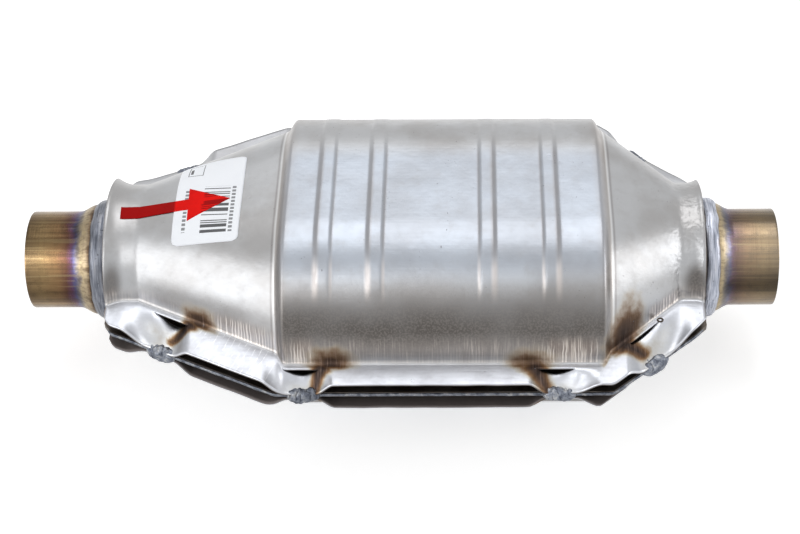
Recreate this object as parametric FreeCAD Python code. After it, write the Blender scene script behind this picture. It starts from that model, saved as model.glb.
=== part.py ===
import FreeCAD, Part
import math
import os

# Oval clamshell catalytic converter with welded-on heat shields, in millimetres.
# Two pressed halves close around two ceramic bricks and their mats; a belled pipe stub is
# welded into each neck, and a thin pressed heat shield stands off each half.
#
# Frame: the origin is the centre of the inlet pipe's mouth, +X runs with the gas to the outlet,
# +Z is up, and the halves part on the plane Z = 0. Front is -Y.

V = FreeCAD.Vector

# ---------------------------------------------------------------- driving dimensions
# lengths along X, one after another from the inlet mouth
inlet_stub = 41.5            # inlet mouth to the shields' inlet collar
inlet_collar = 15.5          # round collar at the narrow end of the inlet cone
inlet_cone = 68.4
body_length = 157.6          # oval body with both of its end risers
outlet_cone = 35.0
outlet_collar = 11.3
outlet_stub = 37.8           # shields' outlet collar to the outlet mouth

# heat shields: outer face of the pressed sheet
shield_sheet = 1.0
body_flat = 24.9             # half-width of the flat top of the oval
body_radius = 52.6           # radius of the oval's ends, which is also its half-height
riser_height = 4.0           # step from a cone up to the body, all round its ends
riser_spread = 2.9           # how much the flat top widens over that step
collar_flat = 0.5
collar_radius = 36.8
inlet_lip = 3.2              # how far the inlet collar flares at its edge
outlet_lip = 1.4
riser = 4.6                  # length of the step from a cone up to the body
shield_root = 2.0            # bend radius where the wall turns into the flange
shield_standoff = 6.55       # air gap between the can's flange and the shield's flange
flange_width = 12.8          # flange along the body
collar_flange = 18.0         # flange beside the collars
inlet_corner = 8.0           # corner cut off the flange at the inlet collar
outlet_corner = 5.5
inlet_lip_length = 9.0       # length of collar over which it flares
inlet_lip_bend = 2.6         # from the edge to where the flare eases off
outlet_lip_length = 4.5

# the can: the two pressed halves that hold the bricks
can_sheet = 1.5
can_air_gap = 5.0            # between the shield's inner face and the can's outer face
can_root = 2.0
can_flange_setback = 2.0     # the can's flange ends this far inside the shields' flanges
can_flange_overhang = 1.0    # how far the can's flange stands out of the collars along X
neck_lead = 5.5              # length of plain round neck outside the collars

# how far the lower shield's flange ends inside the upper one's
lower_setback = 1.0
lower_outlet_setback = 6.0

# pipe stubs
pipe_od = 48.0
pipe_wall = 1.5
bell_radius = 27.3           # outer radius of the belled end that slips into the neck
bell_fit = 0.1               # radial clearance of the bell in the neck
bell_insert = 16.0           # how deep the bell sits in the neck
inlet_flare_start = 23.0     # from the mouth
outlet_flare_start = 21.5
flare_length = 8.5

# weld metal
ring_weld_height = 1.0
ring_weld_inlet = 9.5        # width of the bead that joins the neck to the pipe
ring_weld_outlet = 7.5
ring_weld_lead = 0.45        # share of the width that lies on the pipe, before the neck's end
seam_weld = 0.8              # bead along the edges of the two can flanges
seam_cover = 0.9             # share of the flanges' thickness that the bead covers
tack_length = 16.0
tack_radius = 4.3            # of a tack's lump, which lies along the flange edges
tack_inset = 0.2             # the lump's middle lies this far inside the can flange's edge
tack_swell = ((-1.0, 0.4), (-0.55, 0.95), (0.55, 0.95), (1.0, 0.4))   # shares of half-length and radius

# raised beads across the shields, measured from the start of the body
rib_places = (22.7, 47.0, 99.5, 129.3)
rib_width = 9.5
rib_height = 1.0
rib_root = 0.15              # how far a bead's profile starts below the shield's face
rib_sink = 3.3               # drop of the bead's centre of curvature that lets its ends run out
rib_wrap = 52.0              # degrees that a bead wraps round each shoulder

# places of the tack welds along each flange
tack_inlet_cone = 13.0       # from the inlet end of the inlet cone
tack_body_in = 13.5          # from the start of the body
tack_body_out = 25.0         # from the end of the body
tack_outlet_cone = 14.5      # from the outlet end of the outlet cone

# lanced strips of the shield flange, pressed down and tacked to the can's flange
strip_length = 22.0
strip_ramp = 6.0
slit_offset = 2.2            # slit to the root bend
slit_gap = 0.8

# ceramic bricks and their mats
brick_length = 60.0
brick_gap = 20.0
mat_thickness = 4.5
mat_inset = 3.0              # the mat ends short of the brick's faces
channel_pitch = 12.5
channel_web = 2.0

# label and flow arrow, two films on the upper shield
label_sheet = 0.12
label_length = 33.0          # along X
label_span = 58.0            # across, measured in plan
label_corner = 3.0
label_place = 17.4           # from the inlet end of the cone
label_offset = 1.0           # towards the rear
label_slant = -7.8           # degrees, of its short edges against X, in plan
arrow_sheet = 0.1
arrow_length = 53.5
arrow_shaft = 7.2
arrow_head = 22.0
arrow_head_length = 20.5
arrow_place = 6.5            # from the edge of the inlet collar
arrow_offset = -4.6          # towards the rear, at the tail
arrow_turn = 2.0             # degrees

# ---------------------------------------------------------------- stations along X
x_collar_in = inlet_stub
x_cone_in = x_collar_in + inlet_collar
x_body_in = x_cone_in + inlet_cone
x_body_out = x_body_in + body_length
x_cone_out = x_body_out + outlet_cone
x_collar_out = x_cone_out + outlet_collar
x_outlet = x_collar_out + outlet_stub
x_lip_in = x_collar_in + inlet_lip_length
x_lip_out = x_collar_out - outlet_lip_length
x_mid = (x_body_in + x_body_out) / 2

cone_flat = body_flat - riser_spread
cone_radius = body_radius - riser_height
shield_face = can_sheet + shield_standoff + shield_sheet
can_offset = shield_sheet + can_air_gap
neck_radius = bell_radius + bell_fit + can_sheet
x_neck_in = x_collar_in - neck_lead
x_neck_out = x_collar_out + neck_lead
flange_half = body_flat + body_radius + flange_width
can_inner_radius = body_radius - can_offset - can_sheet
brick_radius = can_inner_radius - mat_thickness
far = 4 * flange_half


# ---------------------------------------------------------------- outlines and sections
def lerp(a, b, u):
    return a + (b - a) * u


def flange_outline(setback, outlet_setback, overhang=0.0):
    """Plan outline of a flange, as (x, half-width) from the inlet collar to the outlet collar."""
    inlet_half = collar_radius + collar_flange
    outlet_half = collar_radius + collar_flange - outlet_setback
    outline = [
        (x_collar_in - overhang, inlet_half - inlet_corner),
        (x_collar_in + inlet_lip_bend, inlet_half - 0.35 * inlet_corner),
        (x_lip_in, inlet_half),
        (x_body_in, flange_half),
        (x_body_out - outlet_setback, flange_half),
        (x_lip_out, outlet_half),
        (x_collar_out + overhang, outlet_half - outlet_corner),
    ]
    return [(x, half - setback) for x, half in outline]


def half_width(outline, x):
    """Half-width of a plan outline at one station."""
    if x <= outline[0][0]:
        return outline[0][1]
    for (xa, ya), (xb, yb) in zip(outline, outline[1:]):
        if x <= xb:
            return lerp(ya, yb, (x - xa) / (xb - xa))
    return outline[-1][1]


def plan_prism(outline, z_low, z_high):
    """The flange's plan outline, both sides, as a prism."""
    front = [V(x, -y, z_low) for x, y in outline]
    rear = [V(x, y, z_low) for x, y in reversed(outline)]
    face = Part.Face(Part.makePolygon(front + rear + front[:1]))
    return face.extrude(V(0, 0, z_high - z_low))


def hat_section(x, flat, radius, edge, face_z, sheet, root):
    """Closed profile of a pressed half at station x: flange, root bend, shoulder and flat top."""
    reach = math.sqrt((radius + root) ** 2 - (face_z + root) ** 2)
    centre = V(x, flat + reach, face_z + root)
    out = V(0, reach, face_z + root) * (1.0 / (radius + root))
    down = V(0, 0, -1)
    up = V(0, 0, 1)
    root_mid = (down - out).normalize()
    wall_mid = (up + out).normalize()
    pivot = V(x, flat, 0)

    def skin(depth):
        bend = root + depth
        wall = radius - depth
        rim = V(x, edge, face_z - depth)
        foot = centre + down * bend
        heel = centre - out * bend
        crown = pivot + up * wall
        return rim, foot, centre + root_mid * bend, heel, pivot + wall_mid * wall, crown

    def other(p):
        return V(p.x, -p.y, p.z)

    rim, foot, bend, heel, shoulder, crown = skin(0.0)
    rim_in, foot_in, bend_in, heel_in, shoulder_in, crown_in = skin(sheet)
    line = Part.LineSegment
    arc = Part.Arc
    curves = [
        line(rim_in, rim),
        line(rim, foot),
        arc(foot, bend, heel),
        arc(heel, shoulder, crown),
        line(crown, other(crown)),
        arc(other(crown), other(shoulder), other(heel)),
        arc(other(heel), other(bend), other(foot)),
        line(other(foot), other(rim)),
        line(other(rim), other(rim_in)),
        line(other(rim_in), other(foot_in)),
        arc(other(foot_in), other(bend_in), other(heel_in)),
        arc(other(heel_in), other(shoulder_in), other(crown_in)),
        line(other(crown_in), crown_in),
        arc(crown_in, shoulder_in, heel_in),
        arc(heel_in, bend_in, foot_in),
        line(foot_in, rim_in),
    ]
    return Part.Wire([c.toShape() for c in curves])


def rise(u):
    """Smooth step from 0 to 1."""
    return 0.5 - 0.5 * math.cos(math.pi * u)


def shield_form():
    """Outer form of the shields as (x, flat half-width, end radius)."""
    form = [
        (x_collar_in, collar_flat, collar_radius + inlet_lip),
        (x_collar_in + inlet_lip_bend, collar_flat, collar_radius + inlet_lip * 0.5),
        (x_lip_in, collar_flat, collar_radius),
        (x_cone_in, collar_flat, collar_radius),
    ]
    steps = (0.0, 0.5, 1.0)
    for u in steps:
        form.append((x_body_in + riser * u, lerp(cone_flat, body_flat, rise(u)),
                     lerp(cone_radius, body_radius, rise(u))))
    for u in reversed(steps):
        form.append((x_body_out - riser * u, lerp(cone_flat, body_flat, rise(u)),
                     lerp(cone_radius, body_radius, rise(u))))
    form += [
        (x_cone_out, collar_flat, collar_radius),
        (x_lip_out, collar_flat, collar_radius + outlet_lip * 0.2),
        (x_collar_out, collar_flat, collar_radius + outlet_lip),
    ]
    return form


def can_form():
    """Outer form of the can, which follows the shields inside the air gap."""
    neck = (collar_flat, neck_radius)
    cone = (cone_flat, cone_radius - can_offset)
    body = (body_flat, body_radius - can_offset)
    step = can_air_gap
    places = [
        (x_neck_in, neck),
        (x_cone_in, neck),
        (x_body_in + step, cone),
        (x_body_in + step + riser, body),
        (x_body_out - step - riser, body),
        (x_body_out - step, cone),
        (x_cone_out, neck),
        (x_neck_out, neck),
    ]
    return [(x, flat, radius) for x, (flat, radius) in places]


def form_at(form, x):
    """Flat half-width and end radius of a form at any station."""
    for (xa, fa, ra), (xb, fb, rb) in zip(form, form[1:]):
        if x <= xb:
            u = max(0.0, (x - xa) / (xb - xa))
            return lerp(fa, fb, u), lerp(ra, rb, u)
    return form[-1][1], form[-1][2]


def pressed_half(form, outline, face_z, sheet, root):
    """A pressed half as one closed solid, lofted through its sections."""
    ends = (form[0][0], form[-1][0])
    places = {x for x, flat, radius in form}
    places |= {x for x, y in outline if ends[0] < x < ends[1]}
    wires = []
    for x in sorted(places):
        flat, radius = form_at(form, x)
        wires.append(hat_section(x, flat, radius, half_width(outline, x), face_z, sheet, root))
    return Part.makeLoft(wires, True, True)


def mirror_z(shape):
    return shape.mirror(V(0, 0, 0), V(0, 0, 1))


# ---------------------------------------------------------------- heat shields
def bead(x, crest):
    """A raised bead across the flat top that wraps both shoulders and runs out on them."""
    low = crest - rib_height - rib_root
    half = rib_width / 2
    arch = Part.Arc(V(x - half, -body_flat, low), V(x, -body_flat, crest), V(x + half, -body_flat, low))
    chord = Part.LineSegment(V(x + half, -body_flat, low), V(x - half, -body_flat, low))
    profile = Part.Face(Part.Wire([arch.toShape(), chord.toShape()]))
    across = profile.extrude(V(0, 2 * body_flat, 0))
    front = profile.revolve(V(0, -body_flat, rib_sink), V(1, 0, 0), rib_wrap)
    rear_face = profile.translated(V(0, 2 * body_flat, 0))
    rear = rear_face.revolve(V(0, body_flat, rib_sink), V(1, 0, 0), -rib_wrap)
    return across.fuse([front, rear])


def tack_places():
    """Middle of each tack weld along X."""
    return (x_cone_in + tack_inlet_cone, x_body_in + tack_body_in, x_body_out - tack_body_out,
            x_cone_out - tack_outlet_cone)


def root_line(form, x):
    """Half-width of the line where the wall's bend meets the flange."""
    flat, radius = form_at(form, x)
    return flat + math.sqrt((radius + shield_root) ** 2 - (shield_face + shield_root) ** 2)


def slit_plan(form, x_mid_tack, side, inset, z_low, z_high):
    """Plan zone of one lanced strip, from its slit out past the flange's edge."""
    xa = x_mid_tack - strip_length / 2
    xb = x_mid_tack + strip_length / 2
    ya = root_line(form, xa) + slit_offset + inset
    yb = root_line(form, xb) + slit_offset + inset
    corners = [V(xa, side * ya, z_low), V(xb, side * yb, z_low),
               V(xb, side * far, z_low), V(xa, side * far, z_low)]
    face = Part.Face(Part.makePolygon(corners + corners[:1]))
    return face.extrude(V(0, 0, z_high - z_low))


def strip_band(x_mid_tack, side):
    """Bent band of sheet that dips from the shield's flange to the can's flange."""
    xa = x_mid_tack - strip_length / 2
    xb = x_mid_tack + strip_length / 2
    dip = can_sheet + shield_sheet
    top = [(xa, shield_face), (xa + strip_ramp, dip), (xb - strip_ramp, dip), (xb, shield_face)]
    low = [(x, z - shield_sheet) for x, z in reversed(top)]
    points = [V(x, 0, z) for x, z in top + low]
    face = Part.Face(Part.makePolygon(points + points[:1]))
    return face.extrude(V(0, side * far, 0))


def heat_shield(outline):
    form = shield_form()
    shell = pressed_half(form, outline, shield_face, shield_sheet, shield_root)
    for place in rib_places:
        x = x_body_in + place
        shell = shell.fuse(bead(x, body_radius + rib_height))
        shell = shell.cut(bead(x, body_radius + rib_height - shield_sheet))
    plan = plan_prism(outline, 0.0, 2 * shield_face)
    zones = []
    strips = []
    for x in tack_places():
        for side in (-1, 1):
            zones.append(slit_plan(form, x, side, 0.0, 0.0, 2 * shield_face))
            strip = strip_band(x, side).common(plan)
            strips.append(strip.common(slit_plan(form, x, side, slit_gap, 0.0, 2 * shield_face)))
    shell = shell.cut(zones)
    return shell.fuse(strips)


# ---------------------------------------------------------------- can
def can_half(outline):
    """A can half whose neck stands out of the flange as a plain round tube."""
    shell = pressed_half(can_form(), outline, can_sheet, can_sheet, can_root)
    trims = []
    for x_flange, way in ((outline[0][0], -1), (outline[-1][0], 1)):
        block = Part.makeBox(far, 2 * far, far, V(x_flange if way > 0 else x_flange - far, -far, -far / 2))
        neck = Part.makeCylinder(neck_radius, 3 * far, V(x_flange - 1.5 * far, 0, 0), V(1, 0, 0))
        trims.append(block.cut(neck))
    return shell.cut(trims)


# ---------------------------------------------------------------- pipes and welds
def s_curve(xa, ra, xb, rb):
    """Two tangent arcs from (xa, ra) to (xb, rb), level at both ends."""
    dx = xb - xa
    dr = rb - ra
    mid = (xa + dx / 2, ra + dr / 2)
    turn = 2 * math.atan2(abs(dr), abs(dx))
    bend = (dx * dx + dr * dr) / (4 * abs(dr))
    sx = math.copysign(1, dx)
    sr = math.copysign(1, dr)
    step_x = bend * math.sin(turn / 2)
    step_r = bend * (1 - math.cos(turn / 2))
    first = (xa + sx * step_x, ra + sr * step_r)
    last = (xb - sx * step_x, rb - sr * step_r)
    return [Part.Arc(V(xa, 0, ra), V(first[0], 0, first[1]), V(mid[0], 0, mid[1])).toShape(),
            Part.Arc(V(mid[0], 0, mid[1]), V(last[0], 0, last[1]), V(xb, 0, rb)).toShape()]


def turned(edges):
    """Solid of revolution about the X axis from the edges of a closed half-profile."""
    face = Part.Face(Part.Wire(Part.__sortEdges__(edges)))
    return face.revolve(V(0, 0, 0), V(1, 0, 0), 360)


def segment(a, b):
    return Part.LineSegment(V(a[0], 0, a[1]), V(b[0], 0, b[1])).toShape()


def pipe_stub(mouth, way, flare_start, neck_end):
    """Belled tube from its mouth inward; way is +1 or -1 along X."""
    r_out = pipe_od / 2
    r_in = r_out - pipe_wall
    bell_in = bell_radius - pipe_wall
    xa = mouth + way * flare_start
    xb = xa + way * flare_length
    end = neck_end + way * bell_insert
    edges = [segment((mouth, r_in), (mouth, r_out)), segment((mouth, r_out), (xa, r_out))]
    edges += s_curve(xa, r_out, xb, bell_radius)
    edges += [segment((xb, bell_radius), (end, bell_radius)), segment((end, bell_radius), (end, bell_in))]
    edges += [segment((end, bell_in), (xb, bell_in))]
    edges += s_curve(xb, bell_in, xa, r_in)
    edges += [segment((xa, r_in), (mouth, r_in))]
    return turned(edges)


def ring_weld(neck_end, way, width, cans):
    """Bead that laps from the pipe's bell over the end of the neck."""
    lead = width * ring_weld_lead
    start = neck_end - way * lead
    crest_a = (neck_end - way * lead * 0.35, neck_radius + ring_weld_height * 0.7)
    crest_b = (neck_end + way * (width - lead) * 0.5, neck_radius + ring_weld_height)
    stop = neck_end + way * (width - lead)
    points = [(start, bell_radius), crest_a, crest_b, (stop, neck_radius),
              (neck_end, neck_radius), (neck_end, bell_radius)]
    edges = [segment(a, b) for a, b in zip(points, points[1:] + points[:1])]
    return turned(edges).cut(cans)


def seam_welds(outline, tacks):
    """Bead on the edges of the two can flanges, front and rear, broken at the tacks."""
    wide = [(x, y + seam_weld) for x, y in outline]
    ring = plan_prism(wide, -can_sheet * seam_cover, can_sheet * seam_cover)
    ring = ring.cut(plan_prism(outline, -far, far))
    ring = ring.cut(tacks)
    sides = []
    for side in (-1, 1):
        low = 0 if side > 0 else -far
        sides.append(ring.common(Part.makeBox(far * 2, far, far, V(-far / 2, low, -far / 2))))
    return sides


def tack_lump(x, side, outline):
    """Lump of weld metal lying along the stacked flange edges."""
    dx = 1.0
    ya = half_width(outline, x - dx)
    yb = half_width(outline, x + dx)
    turn = math.degrees(math.atan2(side * (yb - ya), 2 * dx))
    half = tack_length / 2
    points = [(half * u, tack_radius * s) for u, s in tack_swell]
    points = [(-half, 0.0)] + points + [(half, 0.0)]
    lump = turned([segment(a, b) for a, b in zip(points, points[1:] + points[:1])])
    lump.rotate(V(0, 0, 0), V(0, 0, 1), turn)
    lump.translate(V(x, side * (half_width(outline, x) - tack_inset), 0))
    return lump


# ---------------------------------------------------------------- bricks and mats
def oval_wire(x, flat, radius):
    """Racetrack in the plane X = x."""
    top_a = V(x, -flat, radius)
    top_b = V(x, flat, radius)
    low_a = V(x, -flat, -radius)
    low_b = V(x, flat, -radius)
    curves = [
        Part.LineSegment(top_a, top_b),
        Part.Arc(top_b, V(x, flat + radius, 0), low_b),
        Part.LineSegment(low_b, low_a),
        Part.Arc(low_a, V(x, -flat - radius, 0), top_a),
    ]
    return Part.Wire([c.toShape() for c in curves])


def face_with_holes(outer, holes):
    return Part.makeFace([outer] + holes, "Part::FaceMakerBullseye")


def brick(x):
    """Ceramic brick with straight square gas channels."""
    half = (channel_pitch - channel_web) / 2
    skin = channel_web
    rows = int(brick_radius / channel_pitch)
    columns = int((body_flat + brick_radius) / channel_pitch)
    holes = []
    for row in range(-rows, rows + 1):
        for column in range(-columns, columns + 1):
            y = column * channel_pitch
            z = row * channel_pitch
            beyond = max(0.0, abs(y) + half - body_flat)
            if math.hypot(beyond, abs(z) + half) > brick_radius - skin:
                continue
            ring = [V(x, y - half, z - half), V(x, y + half, z - half),
                    V(x, y + half, z + half), V(x, y - half, z + half)]
            holes.append(Part.makePolygon(ring + ring[:1]))
    face = face_with_holes(oval_wire(x, body_flat, brick_radius), holes)
    return face.extrude(V(brick_length, 0, 0))


def mat(x):
    """Support mat wrapped round a brick, squeezed between it and the can."""
    start = x + mat_inset
    inner = oval_wire(start, body_flat, brick_radius)
    outer = oval_wire(start, body_flat, can_inner_radius)
    return face_with_holes(outer, [inner]).extrude(V(brick_length - 2 * mat_inset, 0, 0))


# ---------------------------------------------------------------- films on the upper shield
def raised_form(lift):
    return [(x, flat, radius + lift) for x, flat, radius in shield_form()]


def solid_form(form):
    """The form's upper half as a plain solid, used to wrap a film round it."""
    wires = []
    for x, flat, radius in form:
        rear = Part.Arc(V(x, flat + radius, 0), V(x, flat + radius * math.sqrt(0.5), radius * math.sqrt(0.5)),
                        V(x, flat, radius))
        front = Part.Arc(V(x, -flat, radius),
                         V(x, -flat - radius * math.sqrt(0.5), radius * math.sqrt(0.5)),
                         V(x, -flat - radius, 0))
        top = Part.LineSegment(V(x, flat, radius), V(x, -flat, radius))
        base = Part.LineSegment(V(x, -flat - radius, 0), V(x, flat + radius, 0))
        wires.append(Part.Wire([rear.toShape(), top.toShape(), front.toShape(), base.toShape()]))
    return Part.makeLoft(wires, True, True)


def film(plan, lift, sheet):
    """The part of a thin layer over the upper shield that lies above a plan face."""
    layer = solid_form(raised_form(lift + sheet)).cut(solid_form(raised_form(lift)))
    return layer.common(plan.extrude(V(0, 0, far)))


def label_plan():
    """Rounded plate whose short edges run along X at a slant."""
    x0 = x_cone_in + label_place
    fall = label_length / 2 * math.tan(math.radians(label_slant))
    corners = [V(x0, label_offset - label_span / 2 - fall, 0),
               V(x0 + label_length, label_offset - label_span / 2 + fall, 0),
               V(x0 + label_length, label_offset + label_span / 2 + fall, 0),
               V(x0, label_offset + label_span / 2 - fall, 0)]
    plate = Part.Face(Part.makePolygon(corners + corners[:1])).extrude(V(0, 0, 1))
    upright = [e for e in plate.Edges if abs(e.tangentAt(e.FirstParameter).z) > 0.9]
    plate = plate.makeFillet(label_corner, upright)
    return min(plate.Faces, key=lambda f: f.CenterOfMass.z)


def arrow_plan():
    x0 = x_collar_in + arrow_place
    neck = x0 + arrow_length - arrow_head_length
    tip = x0 + arrow_length
    points = [V(x0, -arrow_shaft / 2, 0), V(neck, -arrow_shaft / 2, 0), V(neck, -arrow_head / 2, 0),
              V(tip, 0, 0), V(neck, arrow_head / 2, 0), V(neck, arrow_shaft / 2, 0),
              V(x0, arrow_shaft / 2, 0)]
    face = Part.Face(Part.makePolygon(points + points[:1]))
    face.rotate(V(x0, 0, 0), V(0, 0, 1), arrow_turn)
    face.translate(V(0, arrow_offset, 0))
    return face


# ---------------------------------------------------------------- assembly
upper_outline = flange_outline(0.0, 0.0)
lower_outline = flange_outline(lower_setback, lower_outlet_setback)
can_outline = flange_outline(can_flange_setback, 0.0, can_flange_overhang)

upper_shield = heat_shield(upper_outline)
lower_shield = mirror_z(heat_shield(lower_outline))
upper_can = can_half(can_outline)
lower_can = mirror_z(upper_can)

nodes = {
    "upper_heat_shield": upper_shield,
    "lower_heat_shield": lower_shield,
    "upper_can_half": upper_can,
    "lower_can_half": lower_can,
    "inlet_pipe": pipe_stub(0.0, 1, inlet_flare_start, x_neck_in),
    "outlet_pipe": pipe_stub(x_outlet, -1, outlet_flare_start, x_neck_out),
    "inlet_ring_weld": ring_weld(x_neck_in, 1, ring_weld_inlet, [upper_can, lower_can]),
    "outlet_ring_weld": ring_weld(x_neck_out, -1, ring_weld_outlet, [upper_can, lower_can]),
}

sheets = [upper_shield, lower_shield, upper_can, lower_can]
lumps = []
for side, side_name in ((-1, "front"), (1, "rear")):
    for number, x in enumerate(tack_places(), start=1):
        lump = tack_lump(x, side, can_outline)
        lumps.append(lump)
        nodes["%s_tack_weld_%d" % (side_name, number)] = lump.cut(sheets)

front_seam, rear_seam = seam_welds(can_outline, lumps)
nodes["front_seam_weld"] = front_seam
nodes["rear_seam_weld"] = rear_seam

brick_starts = (x_mid - brick_gap / 2 - brick_length, x_mid + brick_gap / 2)
for end_name, x in zip(("inlet", "outlet"), brick_starts):
    nodes[end_name + "_brick"] = brick(x)
    nodes[end_name + "_mat"] = mat(x)

nodes["label"] = film(label_plan(), 0.0, label_sheet)
nodes["flow_arrow"] = film(arrow_plan(), label_sheet, arrow_sheet)

os.makedirs("parts", exist_ok=True)
for name, shape in nodes.items():
    shape.exportStep("parts/%s.step" % name)
    box = shape.BoundBox
    print("%-20s solids %d valid %s volume %8.0f  x %6.1f %6.1f  y %6.1f %6.1f  z %6.1f %6.1f" % (
        name, len(shape.Solids), shape.isValid(), shape.Volume,
        box.XMin, box.XMax, box.YMin, box.YMax, box.ZMin, box.ZMax))
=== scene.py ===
import math

import bpy
import numpy as np
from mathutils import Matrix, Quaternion, Vector, noise


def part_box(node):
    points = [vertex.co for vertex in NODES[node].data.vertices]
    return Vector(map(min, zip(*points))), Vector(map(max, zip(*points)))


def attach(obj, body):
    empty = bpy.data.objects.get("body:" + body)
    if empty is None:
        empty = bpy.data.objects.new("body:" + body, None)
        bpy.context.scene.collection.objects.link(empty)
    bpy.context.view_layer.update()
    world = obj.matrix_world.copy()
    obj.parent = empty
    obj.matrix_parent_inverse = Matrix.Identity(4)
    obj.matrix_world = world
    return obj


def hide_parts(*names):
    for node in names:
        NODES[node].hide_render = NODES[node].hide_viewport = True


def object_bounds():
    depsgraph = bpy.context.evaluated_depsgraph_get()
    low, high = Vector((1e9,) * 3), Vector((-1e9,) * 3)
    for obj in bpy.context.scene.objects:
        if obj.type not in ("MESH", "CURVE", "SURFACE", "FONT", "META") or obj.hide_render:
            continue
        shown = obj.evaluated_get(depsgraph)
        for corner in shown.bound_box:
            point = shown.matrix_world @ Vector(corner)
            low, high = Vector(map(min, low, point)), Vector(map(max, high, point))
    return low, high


# Oval clamshell catalytic converter: pressed heat shields tacked over a seam-welded can,
# with a belled pipe stub at each end. Sizes are in millimetres until a mesh is made.
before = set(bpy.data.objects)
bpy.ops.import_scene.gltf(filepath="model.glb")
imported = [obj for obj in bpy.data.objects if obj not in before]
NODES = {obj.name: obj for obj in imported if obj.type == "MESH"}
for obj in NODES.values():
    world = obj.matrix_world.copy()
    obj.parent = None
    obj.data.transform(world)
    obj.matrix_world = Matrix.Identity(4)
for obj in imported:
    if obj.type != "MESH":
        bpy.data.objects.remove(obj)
CAD_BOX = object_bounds()
MM = 0.001


def node_box(name):
    """Lowest and highest corner of a frame node, in millimetres."""
    low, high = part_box(name)
    return np.array(low) / MM, np.array(high) / MM


# ---------------------------------------------------------------- sizes
SHIELD_LOW, SHIELD_HIGH = node_box("upper_heat_shield")
CAN_LOW, CAN_HIGH = node_box("upper_can_half")
BRICK_LOW, BRICK_HIGH = node_box("inlet_brick")
OUTLET_BRICK_LOW = node_box("outlet_brick")[0]

X_COLLAR_IN = SHIELD_LOW[0]
X_COLLAR_OUT = SHIELD_HIGH[0]
X_OUTLET = node_box("outlet_pipe")[1][0]
X_NECK_IN = CAN_LOW[0]
X_NECK_OUT = CAN_HIGH[0]
INLET_COLLAR = 15.5
OUTLET_COLLAR = 11.3
OUTLET_CONE = 35.0
BODY_LENGTH = 157.6
X_CONE_IN = X_COLLAR_IN + INLET_COLLAR
X_CONE_OUT = X_COLLAR_OUT - OUTLET_COLLAR
X_BODY_OUT = X_CONE_OUT - OUTLET_CONE
X_BODY_IN = X_BODY_OUT - BODY_LENGTH

SHEET = 1.0
BODY_FLAT = 24.9
BODY_RADIUS = 52.6
CONE_FLAT = 22.0
CONE_RADIUS = 48.6
COLLAR_FLAT = 0.5
COLLAR_RADIUS = 36.8
INLET_LIP = 3.2
OUTLET_LIP = 1.4
INLET_LIP_LENGTH = 9.0
OUTLET_LIP_LENGTH = 4.5
RISER = 4.6
ROOT = 2.0
CAN_SHEET = 1.5
STANDOFF = 6.55                   # from the can's flange to the shield's
SHIELD_FACE = CAN_SHEET + STANDOFF + SHEET
FLANGE_HALF = SHIELD_HIGH[1]
COLLAR_FLANGE = 18.0
INLET_CORNER = 8.0
OUTLET_CORNER = 5.5
CAN_SETBACK = 2.0
LOWER_SETBACK = 1.0
LOWER_OUTLET_SETBACK = 6.0

NECK_RADIUS = 28.9
BELL_RADIUS = 27.3
PIPE_RADIUS = 24.0
PIPE_WALL = 1.5
FLARE_LENGTH = 8.5
INLET_FLARE = 23.0                # from each mouth to the start of its flare
OUTLET_FLARE = 21.5
BELL_INSERT = 16.0                # how deep a bell sits in the neck
INLET_RING = 9.5                  # width of each ring weld
OUTLET_RING = 7.5
RING_LEAD = 0.45                  # share of that width that lies on the pipe

RIB_PLACES = (22.7, 47.0, 99.5, 129.3)
RIB_WIDTH = 9.5
RIB_HEIGHT = 1.0
RIB_SINK = 3.3                    # lets the ribs run out on the shoulders
# painted shade on the ribs: each rib's broader, softer band lies on this side
RIB_BROAD_SIDES = (-1, -1, 1, 1)  # which way along X each rib has its softer edge

SLIT_OFFSET = 2.2
SLIT_ENDS = ((-4.8, 12.3), (-10.1, 7.1), (-10.3, 7.3), (-12.6, 2.4))   # from each tack along X
SLIT_DEPTHS = (0.74, 0.56, 0.54, 0.36)     # shares of the full drop to the can
SLIT_SKEWS = (1.8, 1.2, 0.9, 0.7)          # over 1 puts the widest place nearer the +X end
STEEP_SIDES = (1, 1, -1, -1)               # which way along X a strip climbs back steeply
STEEP_REACH = 14.5
FRONT_REACHES = (20.0, 20.0, 20.0, 20.0)   # how far the other way each strip climbs back
REAR_REACHES = (45.0, 20.0, 20.0, 45.0)    # the rear ones stay down out to the collars


def lerp(a, b, u):
    """From a at u 0 to b at u 1."""
    return a + (b - a) * u


def smooth(u):
    """Smooth step from 0 to 1 over u 0 to 1, on arrays."""
    u = np.clip(u, 0.0, 1.0)
    return u * u * (3 - 2 * u)


def value_noise(points, scale, seed=0.0, octaves=3):
    """Fractal noise about 0 at many points, given in millimetres."""
    out = np.empty(len(points))
    for i, p in enumerate(points):
        place = Vector((p[0] / scale + seed, p[1] / scale - seed, p[2] / scale + 0.37 * seed))
        out[i] = noise.fractal(place, 1.0, 2.0, octaves)
    return out


# ---------------------------------------------------------------- mesh helpers
def mesh_object(name, points, faces, smooth_faces=True, rib_shading=()):
    """A new object at the origin from points in millimetres."""
    mesh = bpy.data.meshes.new(name)
    mesh.from_pydata([tuple(p) for p in np.asarray(points, float) * MM], rib_shading, faces)
    mesh.update()
    if smooth_faces:
        mesh.shade_smooth()
    piece = bpy.data.objects.new(name, mesh)
    bpy.context.scene.collection.objects.link(piece)
    return piece


def baked(piece):
    """Applies every modifier and gives the plain mesh object."""
    bpy.context.view_layer.update()
    depsgraph = bpy.context.evaluated_depsgraph_get()
    mesh = bpy.data.meshes.new_from_object(piece.evaluated_get(depsgraph), depsgraph=depsgraph)
    piece.modifiers.clear()
    old = piece.data
    piece.data = mesh
    bpy.data.meshes.remove(old)
    return piece


SQUARE = ((-1, -1), (1, -1), (1, 1), (-1, 1))   # corners, in order


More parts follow.
